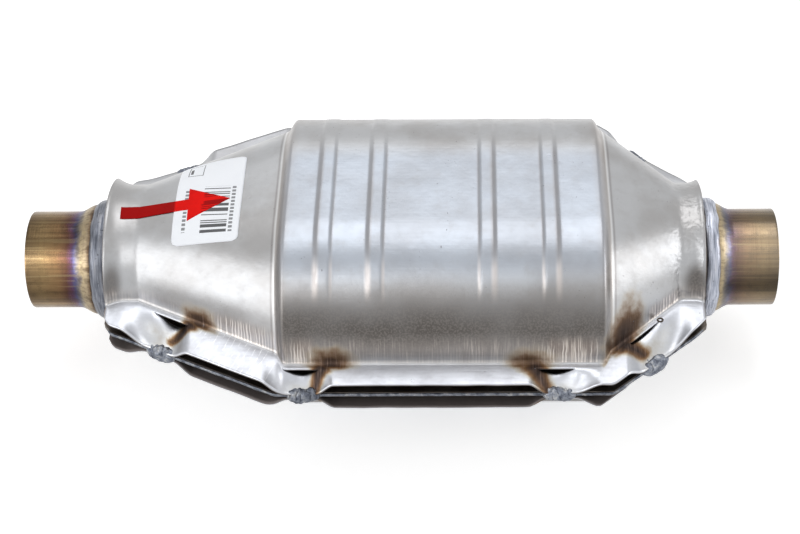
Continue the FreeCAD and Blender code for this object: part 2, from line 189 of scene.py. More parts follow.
def grid_faces(columns, rows, wrap_rows=False, wrap_columns=False):
    """Quads of a grid whose point index is column * rows + row."""
    faces = []
    for c in range(columns if wrap_columns else columns - 1):
        d = (c + 1) % columns
        for r in range(rows if wrap_rows else rows - 1):
            s = (r + 1) % rows
            faces.append((c * rows + r, c * rows + s, d * rows + s, d * rows + r))
    return faces


def finish_piece(piece, material, slot, *replaced):
    """Material, body and the frame nodes that a piece stands for; slot is not used."""
    piece.data.materials.clear()
    piece.data.materials.append(material)
    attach(piece, "root")
    if replaced:
        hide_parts(*replaced)


# ---------------------------------------------------------------- node trees
class Field:
    """One socket of a tree. Python's operators on it add Math nodes."""

    def __init__(self, nodes, socket):
        self.nodes = nodes
        self.socket = socket

    def pick(self, output):
        return Field(self.nodes, self.socket.node.outputs[output])

    def math(self, operation, *values):
        return self.nodes.add("ShaderNodeMath", {"operation": operation}, dict(enumerate(values)))

    def __add__(self, other):
        return self.math("ADD", self, other)

    def __radd__(self, other):
        return self.math("ADD", other, self)

    def __sub__(self, other):
        return self.math("SUBTRACT", self, other)

    def __rsub__(self, other):
        return self.math("SUBTRACT", other, self)

    def __mul__(self, other):
        return self.math("MULTIPLY", self, other)

    def __rmul__(self, other):
        return self.math("MULTIPLY", other, self)

    def __truediv__(self, other):
        return self.math("DIVIDE", self, other)

    def __rtruediv__(self, other):
        return self.math("DIVIDE", other, self)

    def __pow__(self, other):
        return self.math("POWER", self, other)

    def __abs__(self):
        return self.math("ABSOLUTE", self)

    def __gt__(self, other):
        return self.math("GREATER_THAN", self, other)

    def __lt__(self, other):
        return self.math("LESS_THAN", self, other)

    def floor(self):
        return self.math("FLOOR", self)

    def most(self, other):
        return self.math("MAXIMUM", self, other)

    def least(self, other):
        return self.math("MINIMUM", self, other)

    def clamped(self):
        return self.most(0.0).least(1.0)

    def step(self, low, high):
        """Smooth step from 0 at low to 1 at high."""
        return self.nodes.add(
            "ShaderNodeMapRange", {"interpolation_type": "SMOOTHSTEP"},
            {"Value": self, "From Min": low, "From Max": high})


class Nodes:
    """Adds nodes to one tree. A value is a number, a tuple or a Field."""

    def __init__(self, tree):
        self.tree = tree

    def add(self, kind, settings=None, values=None, output=0):
        node = self.tree.nodes.new(kind)
        for key, setting in (settings or {}).items():
            if key == "stops":
                self.fill_ramp(node.color_ramp, setting)
            else:
                setattr(node, key, setting)
        for place, value in (values or {}).items():
            self.feed(node.inputs[place], value)
        return Field(self, node.outputs[output]) if len(node.outputs) else node

    def feed(self, socket, value):
        """Links a Field to a socket, or writes a plain value in it."""
        if isinstance(value, Field):
            self.tree.links.new(value.socket, socket)
        else:
            socket.default_value = value

    @staticmethod
    def fill_ramp(ramp, stops):
        while len(ramp.elements) > 1:
            ramp.elements.remove(ramp.elements[-1])
        ramp.elements[0].position = stops[0][0]
        ramp.elements[0].color = stops[0][1]
        for place, colour in stops[1:]:
            ramp.elements.new(place).color = colour

    def parts(self, vector):
        """X, Y and Z of a vector."""
        x = self.add("ShaderNodeSeparateXYZ", {}, {"Vector": vector})
        return x, x.pick("Y"), x.pick("Z")

    def scaled(self, vector, factor):
        """A vector or a colour, multiplied by a number."""
        return self.add("ShaderNodeVectorMath", {"operation": "SCALE"}, {0: vector, "Scale": factor})

    def mix(self, share, a, b):
        """Colour mix."""
        return self.add("ShaderNodeMix", {"data_type": "RGBA"}, {0: share, 6: a, 7: b}, 2)

    def over(self, colour, *layers):
        """Lays display colours over a colour, one after another, each by its share."""
        for share, tone in layers:
            colour = self.mix(share, colour, linear(*tone))
        return colour

    def ramp(self, value, *stops):
        """Ramp through display colours, each at its place from 0 to 1."""
        stops = [(place, linear(*tone)) for place, tone in stops]
        return self.add("ShaderNodeValToRGB", {"stops": stops}, {"Fac": value})

    def draw(self, value):
        """A random number from 0 to 1 for each whole number in value."""
        return self.add("ShaderNodeTexWhiteNoise", {"noise_dimensions": "1D"}, {"W": value.floor()})

    def noise(self, where, size, detail=3.0, roughness=0.55, stretch=(1, 1, 1), distortion=0.0):
        """Noise of about the given size in the units of where; stretch lengthens it along an axis."""
        place = self.add("ShaderNodeVectorMath", {"operation": "MULTIPLY"},
                         {0: where, 1: tuple(1 / (size * s) for s in stretch)})
        return self.add("ShaderNodeTexNoise", {}, {
            "Vector": place, "Scale": 1.0, "Detail": detail, "Roughness": roughness,
            "Distortion": distortion})

    def attribute(self, name):
        return self.add("ShaderNodeAttribute", {"attribute_name": name}, {}, "Fac")

    def bump(self, height, distance):
        return self.add("ShaderNodeBump", {}, {"Height": height, "Distance": distance})


def linear(r, g, b):
    """Linear colour with alpha from display values 0 to 255."""
    out = []
    for value in (r, g, b):
        c = value / 255
        out.append(c / 12.92 if c <= 0.04045 else ((c + 0.055) / 1.055) ** 2.4)
    return (*out, 1.0)


class Finish:
    """A material in the making: its nodes and the place on the piece in millimetres."""

    def __init__(self, name):
        self.material = bpy.data.materials.new(name)
        self.material.use_nodes = True
        self.shader = self.material.node_tree.nodes["Principled BSDF"]
        self.nodes = Nodes(self.material.node_tree)
        coordinates = self.nodes.add("ShaderNodeTexCoord", {}, {}, "Object")
        self.where = self.nodes.scaled(coordinates, 1 / MM)
        self.x, self.y, self.z = self.nodes.parts(self.where)

    def set(self, **sockets):
        for name, value in sockets.items():
            self.nodes.feed(self.shader.inputs[name.replace("_", " ")], value)
        return self.material


# ---------------------------------------------------------------- finishes
# from the bare sheet to the hottest, on the drawn walls and on the mill-bright flanges
TEMPER = (
    (0.00, (184, 182, 176)), (0.14, (176, 166, 146)), (0.30, (142, 124, 98)),
    (0.48, (108, 86, 66)), (0.70, (78, 62, 52)), (1.00, (58, 48, 44)))
TEMPER_FLANGE = (
    (0.00, (190, 190, 184)), (0.16, (186, 180, 152)), (0.32, (160, 142, 104)),
    (0.50, (128, 100, 70)), (0.72, (88, 68, 54)), (1.00, (54, 46, 44)))

# bands of painted shade and highlight along each rib's edges
BROAD_EDGE = (1.7, 2.3)     # a rib's edge: its middle in from the rib's side, and its half-width
NARROW_EDGE = (0.7, 1.3)


def line(off, half):
    """1 where off is 0, falling to 0 at half away on either side."""
    return (1 - abs(off) / half).clamped()


def off_centre(u):
    """How far u lies from the middle of its own unit step."""
    return abs(u - u.floor() - 0.5)


def rib_edge_shading(f):
    """1 where each pressed rib turns down to the sheet, for its painted shade and highlight: a broad edge on
    one side and a narrow one.
    """
    found = None
    for place, way in zip(RIB_PLACES, RIB_BROAD_SIDES):
        off = (f.x - (X_BODY_IN + place)) * way
        inset, half = BROAD_EDGE
        broad = line(off - (RIB_WIDTH / 2 - inset), half).step(0.0, 0.9)
        inset, half = NARROW_EDGE
        narrow = line(off + (RIB_WIDTH / 2 - inset), half).step(0.0, 0.9) * 0.7
        both = broad.most(narrow)
        found = both if found is None else found.most(both)
    return found


def strip_scratches(f):
    """Short slanting scratches on the front flange beside the inlet cone."""
    n = f.nodes
    u = f.x / 3.2 + abs(f.y) * 0.13 + n.noise(f.where, 9.0, 1.0) * 0.7
    scratch = (0.07 - off_centre(u)).step(-0.03, 0.05) * n.noise(f.where, 5.0, 2.0).step(0.42, 0.62)
    zone = f.x.step(X_CONE_IN + 26.0, X_CONE_IN + 38.0) * f.x.step(X_BODY_IN + 1.0, X_BODY_IN - 6.0)
    return scratch * zone * (f.y < 0)


def pulled_marks(f):
    """Upright marks of uneven height, where the wall was pulled out of the flange."""
    u = f.x / 1.45 + f.nodes.noise(f.where, 7.0, 1.0) * 0.8
    tall = f.nodes.draw(u)
    narrow = 0.36 * (1 - (abs(f.z) - SHIELD_FACE) / (6.0 + tall * 10.0))
    return (narrow - off_centre(u)).step(-0.03, 0.12) * tall.step(0.05, 0.4)


def pressed_steel(name):
    """Dull stainless sheet with drawing marks on its walls and tempered patches by the welds, and painted
    shade, highlight and reflection in places.
    """
    f = Finish(name)
    n = f.nodes
    temper = n.attribute("temper")
    drawn = n.attribute("drawn")
    dull = n.attribute("dull")
    flange = n.attribute("flange")
    inside = n.attribute("inside")
    cloud = n.noise(f.where, 34.0, 4.0, 0.6)
    blotch = n.noise(f.where, 7.0, 5.0, 0.65)
    grain = n.noise(f.where, 0.9, 2.0, 0.5)
    marks = n.noise(f.where, 0.55, 3.0, 0.6, (1.0, 26.0, 26.0))
    rolled = n.noise(f.where, 0.7, 2.0, 0.5, (60.0, 1.0, 1.0))
    scuffs = n.noise(f.where, 1.1, 2.0, 0.6).step(0.66, 0.72) * n.noise(f.where, 15.0, 1.0).step(0.60, 0.68)
    nicks = n.noise(f.where, 2.2, 1.0, 0.5, (1.0, 2.2, 2.2)).step(0.785, 0.81)

    high = abs(f.z)
    on_body = f.x.step(X_BODY_IN, X_BODY_IN + RISER) * f.x.step(X_BODY_OUT, X_BODY_OUT - RISER)
    top_reflection = on_body * high.step(38.0, 48.0) * f.y.step(30.0, 14.0)
    past_foot = abs(f.x - (X_BODY_IN + X_BODY_OUT) / 2) - BODY_LENGTH / 2
    rib_shading = rib_edge_shading(f)
    patches = cloud.step(0.35, 0.65)
    clean = n.mix(patches, linear(161, 160, 160), linear(175, 176, 178))
    # painted reflection: a cooler tone on the body's flat top
    clean = n.mix(top_reflection, clean, n.mix(patches, linear(156, 160, 167), linear(166, 172, 181)))
    clean = n.over(
        clean, (blotch.step(0.5, 0.8) * 0.3, (148, 146, 145)),
        # the riser at each end of the body: painted shade on it, a painted dark line and a painted highlight
        # along its foot
        (past_foot.step(-8.5, -0.8) * (past_foot < 0.0) * 0.45, (146, 136, 128)),
        (line(past_foot - 1.3, 0.8) * 0.5, (112, 106, 104)),
        (line(past_foot - 0.1, 0.8) * 0.7, (214, 214, 214)),
        # the ribs' edges: painted shade on the top, painted highlight on the front shoulder
        (rib_shading * high.step(46.0, 50.5) * f.y.step(27.0, 18.0) * 0.42, (134, 126, 121)),
        (rib_shading * high.step(34.0, 41.0) * high.step(49.5, 45.0) * (f.y < 0) * 0.55, (226, 217, 212)),
        # painted shade: a darker band low on the body's shoulders and cones, and darker spots on the collars
        (dull, (92, 88, 85)),
        (dull * grain.step(0.42, 0.62) * 0.35, (136, 131, 127)),
        # the flanges' bright mill face, held back on the rear flange as painted shade
        (flange * (0.9 - 0.6 * (f.y > 0)), (196, 199, 206)),
        (flange * blotch.step(0.42, 0.7) * 0.35, (168, 168, 174)),
        (strip_scratches(f) * flange * 0.8, (240, 241, 244)),
        (scuffs * (1 - flange) * 0.6, (88, 84, 84)),
        (nicks * 0.6, (96, 92, 92)),
        # the drawn walls: a warmer, darker tone, partly their own and partly painted shade; then their
        # drawing marks
        (drawn * 0.4, (142, 126, 116)),
        (marks.step(0.50, 0.70) * drawn * 0.7, (212, 203, 194)),
        (marks.step(0.45, 0.28) * drawn * 0.5, (78, 70, 66)),
        (pulled_marks(f) * drawn.step(0.25, 0.8) * 0.6, (226, 219, 212)))

    burnt_share = (temper + (blotch - 0.5) * 0.45 * temper.step(0.02, 0.3)).clamped()
    burnt = n.mix(flange, n.ramp(burnt_share, *TEMPER), n.ramp(burnt_share, *TEMPER_FLANGE))
    burnt = n.over(burnt, (marks.step(0.5, 0.75) * 0.35, (150, 128, 116)))
    colour = n.mix(burnt_share.step(0.0, 0.62), clean, burnt)
    # the shields' inside faces: dark heat scale, and painted shade where they lie in shadow
    lining = inside.step(0.15, 0.7)
    colour = n.mix(lining, colour, n.mix(blotch, linear(112, 104, 102), linear(84, 78, 76)))
    rough = 0.33 + (blotch - 0.5) * 0.22 + (rolled - 0.5) * 0.12 + temper * 0.10 + inside * 0.2
    crumple = n.noise(f.where, 4.5, 2.0, 0.5) * f.x.step(X_CONE_OUT - 12.0, X_CONE_OUT) * (1 - flange) * 0.5
    relief = cloud * 0.35 + blotch * 0.05 + grain * 0.012 + rolled * 0.02 + marks * drawn * 0.10 + crumple
    return f.set(Base_Color=colour, Metallic=1 - 0.65 * lining, Roughness=rough.clamped(),
                 Normal=n.bump(relief, 0.0011))


def can_steel(name):
    """Inner can: darker, grey-brown steel."""
    f = Finish(name)
    n = f.nodes
    cloud = n.noise(f.where, 22.0, 4.0, 0.6)
    grain = n.noise(f.where, 1.1, 3.0, 0.6)
    colour = n.mix(cloud.step(0.35, 0.7), linear(104, 98, 92), linear(70, 60, 54))
    return f.set(Base_Color=colour, Metallic=1.0, Roughness=0.42 + (grain - 0.5) * 0.25,
                 Normal=n.bump(grain * 0.05 + cloud * 0.2, 0.001))


# painted highlight and shade bands along each tube: degrees up from the front, half-width, darker or brighter
# by
INLET_LIGHT_BANDS = ((2, 31, -0.5), (41, 17, 0.78), (84, 37, -0.52))
OUTLET_LIGHT_BANDS = ((10, 28, -0.65), (60, 31, 0.75), (98, 26, -0.38))


def painted_light_bands(angle, bands):
    """Painted brightness round a tube: highlight and shade bands, 0.9 between them."""
    level = 0.9
    for middle, half, change in bands:
        level = line(angle - middle, half).step(0.0, 1.0) * change + level
    return level


def tempered_pipe(name):
    """Drawn tube, tempered in bands by the ring weld: brass, violet and straw towards the bell, with painted
    highlight and shade bands round it.
    """
    f = Finish(name)
    n = f.nodes
    middle = X_OUTLET / 2
    from_mouth = middle - abs(f.x - middle)
    wobble = n.noise(f.where, 9.0, 3.0, 0.6)
    fine = n.noise(f.where, 0.8, 3.0, 0.6, (1.0, 30.0, 30.0))
    along = n.noise(f.where, 1.4, 3.0, 0.6, (40.0, 1.0, 1.0))
    blotch = n.noise(f.where, 4.0, 4.0, 0.65)
    reach = (from_mouth + (wobble - 0.5) * 6.0) / 40.0
    colour = n.ramp(
        reach.clamped(), (0.00, (128, 107, 80)), (0.20, (149, 124, 88)), (0.40, (141, 110, 78)),
        (0.50, (112, 78, 66)), (0.555, (108, 76, 100)), (0.60, (96, 94, 130)), (0.645, (130, 124, 124)),
        (0.69, (178, 162, 132)), (0.76, (160, 144, 120)), (0.80, (96, 78, 64)), (0.83, (52, 48, 50)))
    outlet = f.x > middle
    bell = from_mouth.step(24.0, 30.0)
    angle = f.z.math("ARCTAN2", f.z, f.y * -1.0) * (180 / math.pi)
    angle = angle + (n.noise(f.where, 7.0, 2.0, 0.5, (6.0, 1.0, 1.0)) - 0.5) * 16
    # painted highlight and shade round each tube, evened out on the bell
    level = painted_light_bands(angle, INLET_LIGHT_BANDS) * (1 - outlet) + painted_light_bands(angle, OUTLET_LIGHT_BANDS) * outlet
    level = level + (1.1 - level) * bell * 0.7
    colour = n.over(
        colour, (blotch.step(0.45, 0.75) * 0.45, (98, 80, 58)),
        (along.step(0.50, 0.64) * 0.38, (74, 62, 46)), (along.step(0.46, 0.34) * 0.22, (206, 186, 142)),
        (outlet * (1 - bell) * 0.3, (140, 138, 132)))
    colour = n.over(n.scaled(colour, level), (fine.step(0.5, 0.75) * 0.2, (80, 66, 54)))
    rough = 0.25 + (blotch - 0.5) * 0.2 + (along - 0.5) * 0.1 + from_mouth.step(20.0, 26.0) * 0.14
    return f.set(Base_Color=colour, Metallic=1.0, Roughness=rough.clamped(),
                 Normal=n.bump(fine * 0.03 + along * 0.015 + wobble * 0.1, 0.001))


def weld_metal(name, brightness):
    """Weld beads: dark blue-grey scale over bright metal."""
    f = Finish(name)
    n = f.nodes
    scale = n.noise(f.where, 3.2, 5.0, 0.65)
    grain = n.noise(f.where, 0.6, 3.0, 0.6)
    colour = n.ramp(scale.step(0.3, 0.7), (0.0, (84, 88, 98)), (0.35, (122, 127, 138)),
                    (0.7, (150, 154, 162)), (1.0, (186, 186, 186)))
    colour = n.over(colour, (n.attribute("groove") * 0.85, (38, 40, 48)))
    return f.set(Base_Color=n.scaled(colour, brightness), Metallic=1.0, Roughness=0.40 + (scale - 0.5) * 0.3,
                 Normal=n.bump(grain * 0.14 + scale * 0.25, 0.001))


def ring_weld_metal(name):
    """Machine-laid weld ring: blue-grey scale drawn out along the bead, brighter at the outlet."""
    f = Finish(name)
    n = f.nodes
    along = n.add("ShaderNodeUVMap", {"uv_map": "bead"})
    streak = n.noise(along, 1.0, 4.0, 0.6, (1 / 14.0, 1 / 9.0, 1.0))
    fine = n.noise(along, 1.0, 3.0, 0.6, (1 / 60.0, 1 / 22.0, 1.0))
    pits = n.noise(f.where, 1.5, 3.0, 0.6)
    colour = n.ramp(streak, (0.25, (70, 72, 80)), (0.42, (112, 116, 126)), (0.58, (148, 151, 160)),
                    (0.75, (178, 176, 174)))
    colour = n.over(colour, (pits.step(0.62, 0.72) * 0.6, (48, 46, 50)))
    colour = n.scaled(colour, 0.76 + (f.x > X_OUTLET / 2))
    return f.set(Base_Color=colour, Metallic=1.0, Roughness=0.38 + (fine - 0.5) * 0.25,
                 Normal=n.bump(streak * 0.18 + fine * 0.10 - pits.step(0.62, 0.75) * 0.08, 0.001))


def brick_ceramic(name):
    """Wash-coated cordierite: matt tan, with painted shade down in the channels."""
    f = Finish(name)
    n = f.nodes
    cloud = n.noise(f.where, 16.0, 3.0, 0.6)
    grain = n.noise(f.where, 0.5, 2.0, 0.5)
    length = BRICK_HIGH[0] - BRICK_LOW[0]
    spacing = OUTLET_BRICK_LOW[0] - BRICK_LOW[0]
    along = f.x - BRICK_LOW[0]
    along = along - (along > (length + spacing) / 2) * spacing
    depth = length / 2 - abs(along - length / 2)
    colour = n.mix(cloud, linear(176, 150, 118), linear(142, 116, 88))
    # painted shade down in the channels
    colour = n.over(colour, (depth.step(1.2, 5.5) * 0.85, (46, 36, 28)))
    return f.set(Base_Color=colour, Roughness=0.9, Normal=n.bump(grain * 0.1, 0.001))


def mat_fibre(name):
    """Support mat: pale fibre with flakes."""
    f = Finish(name)
    n = f.nodes
    fibre = n.noise(f.where, 1.1, 5.0, 0.7, (3.0, 1.0, 1.0), 1.0)
    colour = n.mix(fibre.step(0.35, 0.7), linear(206, 198, 180), linear(160, 148, 124))
    return f.set(Base_Color=colour, Roughness=0.95, Normal=n.bump(fibre * 0.5, 0.001))


BARS = (13.8, 26.8, 5.2, 35.4)    # where the label's bars lie: u and v, from and to, from its corner
BAR_PITCH = 0.62
BAR_GAPS = 0.46                   # share of the pitches that stay bare
UV_UNIT = 100.0                   # millimetres of a film that one unit of its map stands for


def label_paper(name):
    """White label with a block of plain bars, two dashed rules and a framed field."""
    f = Finish(name)
    n = f.nodes
    u, v, _ = n.parts(n.scaled(n.add("ShaderNodeUVMap", {"uv_map": "plan"}), UV_UNIT))

    def block(u0, u1, v0, v1):
        return (u > u0) * (u < u1) * (v > v0) * (v < v1)

    bars = (n.draw(v / BAR_PITCH) > BAR_GAPS) * block(*BARS)
    dash = v / 2.4 - (v / 2.4).floor()
    dashes = (dash < 0.62) * block(27.7, 29.6, BARS[2], BARS[3]).most(block(4.6, 6.4, 6.0, 33.0))
    frame_line = (1 - block(4.6, 11.6, 44.4, 54.6)).most(block(5.2, 6.6, 46.0, 51.0))
    ink = bars.most(dashes * 0.8).most(block(4.2, 12.0, 44.0, 55.0) * frame_line)
    smudge = n.noise(f.where, 11.0, 4.0, 0.6)
    paper = n.mix(smudge.step(0.45, 0.8) * 0.3, linear(246, 249, 254), linear(234, 237, 244))
    return f.set(Base_Color=n.over(paper, (ink * 0.9, (32, 30, 34))), Roughness=0.5,
                 Specular_IOR_Level=0.3, Normal=n.bump(smudge * 0.15, 0.001))


def arrow_film(name):
    """Thin red film: deeper over bare metal, brighter over the label, whose bars show through."""
    f = Finish(name)
    n = f.nodes
    cloud = n.noise(f.where, 12.0, 3.0, 0.6)
    bar = n.draw(f.y / BAR_PITCH) > BAR_GAPS
    colour = n.mix(n.attribute("backed"), linear(160, 6, 6), linear(234, 20, 14))
    colour = n.over(colour, (bar * n.attribute("over_bars") * 0.7, (112, 4, 10)),
                    (cloud.step(0.4, 0.8) * 0.25, (120, 4, 6)))
    return f.set(Base_Color=colour, Roughness=0.6, Specular_IOR_Level=0.08)


SHIELD_STEEL = pressed_steel("pressed_shield_steel")
CAN_STEEL = can_steel("dark_can_steel")
PIPE_STEEL = tempered_pipe("tempered_pipe_steel")
WELD_METAL = weld_metal("weld_metal", 0.86)
# the seam beads' weld metal, darker all over
SEAM_METAL = weld_metal("darker_weld_metal", 0.62)
RING_WELD = ring_weld_metal("ring_weld_metal")
CERAMIC = brick_ceramic("brick_ceramic")
MAT_FIBRE = mat_fibre("mat_fibre")
LABEL_PAPER = label_paper("label_paper")
ARROW_FILM = arrow_film("arrow_film")


# ---------------------------------------------------------------- Geometry Nodes pieces
SOCKET_KINDS = {float: "NodeSocketFloat", int: "NodeSocketInt"}


def geometry_tree(name, inputs):
    """A new tree with named number inputs and a material. Gives its nodes, its entry and its ways in."""
    tree = bpy.data.node_groups.new(name, "GeometryNodeTree")
    tree.interface.new_socket("Geometry", in_out="INPUT", socket_type="NodeSocketGeometry")
    for label, value in inputs.items():
        made = tree.interface.new_socket(label, in_out="INPUT", socket_type=SOCKET_KINDS[type(value)])
        made.default_value = value
    tree.interface.new_socket("Material", in_out="INPUT", socket_type="NodeSocketMaterial")
    tree.interface.new_socket("Geometry", in_out="OUTPUT", socket_type="NodeSocketGeometry")
    nodes = Nodes(tree)
    return nodes, nodes.add("NodeGroupInput")


def close_tree(nodes, entry, geometry, smooth_faces=True):
    """Ends a tree in Shade Smooth, Realize Instances and Set Material."""
    shaded = nodes.add("GeometryNodeSetShadeSmooth", {}, {"Geometry": geometry, "Shade Smooth": smooth_faces})
    real = nodes.add("GeometryNodeRealizeInstances", {}, {"Geometry": shaded})
    final = nodes.add("GeometryNodeSetMaterial", {}, {"Geometry": real, "Material": entry.pick("Material")})
    nodes.add("NodeGroupOutput", {}, {"Geometry": final})
    return nodes.tree


def with_tree(piece, tree, material, values=None):
    """Adds a tree to a piece as a modifier, with its inputs set by identifier."""
    modifier = piece.modifiers.new(tree.name, "NODES")
    modifier.node_group = tree
    given = dict(values or {}, Material=material)
    for item in tree.interface.items_tree:
        if item.in_out == "INPUT" and item.name in given:
            modifier[item.identifier] = given[item.name]
    return piece


def raised_beads_tree():
    """Raises stiffening beads across a pressed shield; they run out on its shoulders."""
    n, entry = geometry_tree("raised_beads", {
        "Bead 1": 0.0, "Bead 2": 0.0, "Bead 3": 0.0, "Bead 4": 0.0, "Bead Width": RIB_WIDTH * MM,
        "Bead Height": RIB_HEIGHT * MM, "Shoulder Sink": RIB_SINK * MM, "Lowest": 30 * MM})
    normal = n.add("GeometryNodeInputNormal")
    x, _, z = n.parts(n.add("GeometryNodeInputPosition"))
    upright = abs(n.parts(normal)[2])
    height = entry.pick("Bead Height")
    crest = (height - entry.pick("Shoulder Sink") * (1 - upright)).most(0.0)
    crest = crest * (abs(z) > entry.pick("Lowest"))
    hump = None
    for number in range(1, 5):
        u = (abs(x - entry.pick("Bead %d" % number)) / (entry.pick("Bead Width") * 0.5)).least(1.0)
        shape = (1 - u * u * 0.2) * (1 - u).step(0.0, 0.5)
        hump = shape if hump is None else hump.most(shape)
    moved = n.add("GeometryNodeSetPosition", {}, {
        "Geometry": entry.pick("Geometry"), "Offset": n.scaled(normal, crest * hump)})
    return close_tree(n, entry, moved)


def seam_bead_tree():
    """A rippled round bead that follows the piece's own edges."""
    n, entry = geometry_tree("seam_bead", {
        "Bead Radius": 1.0 * MM, "Ripple Pitch": 1.6 * MM, "Ripple": 0.16, "Grain": 0.35 * MM, "Seed": 0.0})
    place = n.add("GeometryNodeInputPosition")

    def uneven(scale):
        return n.add("ShaderNodeTexNoise", {"noise_dimensions": "4D"}, {
            "Vector": place, "W": entry.pick("Seed"), "Scale": scale, "Detail": 2.0})

    path = n.add("GeometryNodeMeshToCurve", {}, {"Mesh": entry.pick("Geometry")})
    path = n.add("GeometryNodeResampleCurve", {"mode": "LENGTH"}, {"Curve": path, "Length": 0.55 * MM})
    along = n.add("GeometryNodeSplineParameter").pick("Length") / entry.pick("Ripple Pitch")
    size = 0.72 + entry.pick("Ripple") * (along - along.floor()) + uneven(160.0) * 0.55
    path = n.add("GeometryNodeSetCurveRadius", {}, {"Curve": path, "Radius": size})
    ring = n.add("GeometryNodeCurvePrimitiveCircle", {}, {
        "Resolution": 8, "Radius": entry.pick("Bead Radius")})
    bead = n.add("GeometryNodeCurveToMesh", {}, {
        "Curve": path, "Profile Curve": ring, "Scale": size, "Fill Caps": True})
    skin = n.scaled(n.add("GeometryNodeInputNormal"), (uneven(700.0) - 0.55) * entry.pick("Grain"))
    moved = n.add("GeometryNodeSetPosition", {}, {"Geometry": bead, "Offset": skin})
    return close_tree(n, entry, moved)


def spatter_tree():
    """Small frozen drops over the tempered patches of a shield."""
    n, entry = geometry_tree("weld_spatter", {"Density": 5200.0, "Drop": 0.42 * MM, "Seed": 0})
    temper = n.add("GeometryNodeInputNamedAttribute", {"data_type": "FLOAT"}, {"Name": "temper"})
    strewn = n.add("GeometryNodeDistributePointsOnFaces", {}, {
        "Mesh": entry.pick("Geometry"), "Selection": temper > 0.5,
        "Density": entry.pick("Density"), "Seed": entry.pick("Seed")})
    drop = n.add("GeometryNodeMeshIcoSphere", {}, {"Radius": entry.pick("Drop"), "Subdivisions": 2})
    girth = n.add("FunctionNodeRandomValue", {"data_type": "FLOAT"}, {
        2: 0.35, 3: 1.15, "Seed": entry.pick("Seed") + 3.0}, 1)
    placed = n.add("GeometryNodeInstanceOnPoints", {}, {"Points": strewn, "Instance": drop, "Scale": girth})
    return close_tree(n, entry, placed)


def honeycomb_tree():
    """Repeats the piece, one gas channel, over an oval face."""
    n, entry = geometry_tree("honeycomb", {
        "Flat": 24.9 * MM, "Radius": 40.6 * MM, "Pitch": 2.5 * MM, "Skin": 1.5 * MM})
    flat, radius, pitch = (entry.pick(k) for k in ("Flat", "Radius", "Pitch"))
    rows = (radius / pitch).floor()
    columns = ((flat + radius) / pitch).floor()
    grid = n.add("GeometryNodeMeshGrid", {}, {
        "Size X": columns * pitch * 2, "Size Y": rows * pitch * 2,
        "Vertices X": columns * 2 + 1, "Vertices Y": rows * 2 + 1})
    face = n.add("GeometryNodeMeshToPoints", {}, {"Mesh": grid})
    across, up, _ = n.parts(n.add("GeometryNodeInputPosition"))
    beyond = (abs(across) + pitch * 0.5 - flat).most(0.0)
    climb = abs(up) + pitch * 0.5
    outside = (beyond * beyond + climb * climb) ** 0.5 > radius - entry.pick("Skin")
    face = n.add("GeometryNodeDeleteGeometry", {}, {"Geometry": face, "Selection": outside})
    upright = n.add("ShaderNodeCombineXYZ", {}, {"X": 0.0, "Y": across, "Z": up})
    face = n.add("GeometryNodeSetPosition", {}, {"Geometry": face, "Position": upright})
    cells = n.add("GeometryNodeInstanceOnPoints", {}, {
        "Points": face, "Instance": entry.pick("Geometry")})
    return close_tree(n, entry, cells, False)


RAISED_BEADS = raised_beads_tree()
SEAM_BEAD = seam_bead_tree()
WELD_SPATTER = spatter_tree()
HONEYCOMB = honeycomb_tree()


# ---------------------------------------------------------------- form of the shields
def blurred(x, values, width):
    """Values on an even grid x, rounded over width, so that folds become bends."""
    step = x[1] - x[0]
    reach = int(3 * width / step) + 1
    kernel = np.exp(-0.5 * (np.arange(-reach, reach + 1) * step / width) ** 2)
    kernel /= kernel.sum()
    padded = np.concatenate([
        2 * values[0] - values[reach:0:-1], values, 2 * values[-1] - values[-2:-reach - 2:-1]])
    return np.convolve(padded, kernel, "valid")


DENSE_X = np.linspace(X_COLLAR_IN, X_COLLAR_OUT, 2400)
FOLD_BLUR = 0.5                   # rounds the folds of the walls
RIM_BLUR = 1.3                    # rounds the corners of the shields' plan outline
CAN_RIM_BLUR = 1.0


def form_curves():
    """Flat half-width and end radius of the shields along DENSE_X."""
    turn = np.linspace(0, math.pi, 7)
    rise = 0.5 - 0.5 * np.cos(turn)
    riser_in = X_BODY_IN + RISER * turn / math.pi
    riser_out = X_BODY_OUT - RISER * turn[::-1] / math.pi
    xs = np.concatenate([[X_COLLAR_IN, X_COLLAR_IN + INLET_LIP_LENGTH, X_CONE_IN], riser_in, riser_out,
                         [X_CONE_OUT, X_COLLAR_OUT - OUTLET_LIP_LENGTH, X_COLLAR_OUT]])
    curves = []
    for collar, cone, body in (
            (COLLAR_FLAT, CONE_FLAT, BODY_FLAT), (COLLAR_RADIUS, CONE_RADIUS, BODY_RADIUS)):
        up = lerp(cone, body, rise)
        values = np.concatenate([[collar] * 3, up, up[::-1], [collar] * 3])
        curves.append(blurred(DENSE_X, np.interp(DENSE_X, xs, values), FOLD_BLUR))
    flat, radius = curves
    radius += INLET_LIP * np.clip(1 - (DENSE_X - X_COLLAR_IN) / INLET_LIP_LENGTH, 0, 1) ** 2
    radius += OUTLET_LIP * np.clip(1 - (X_COLLAR_OUT - DENSE_X) / OUTLET_LIP_LENGTH, 0, 1) ** 2
    return flat, radius


FLAT, RADIUS = form_curves()


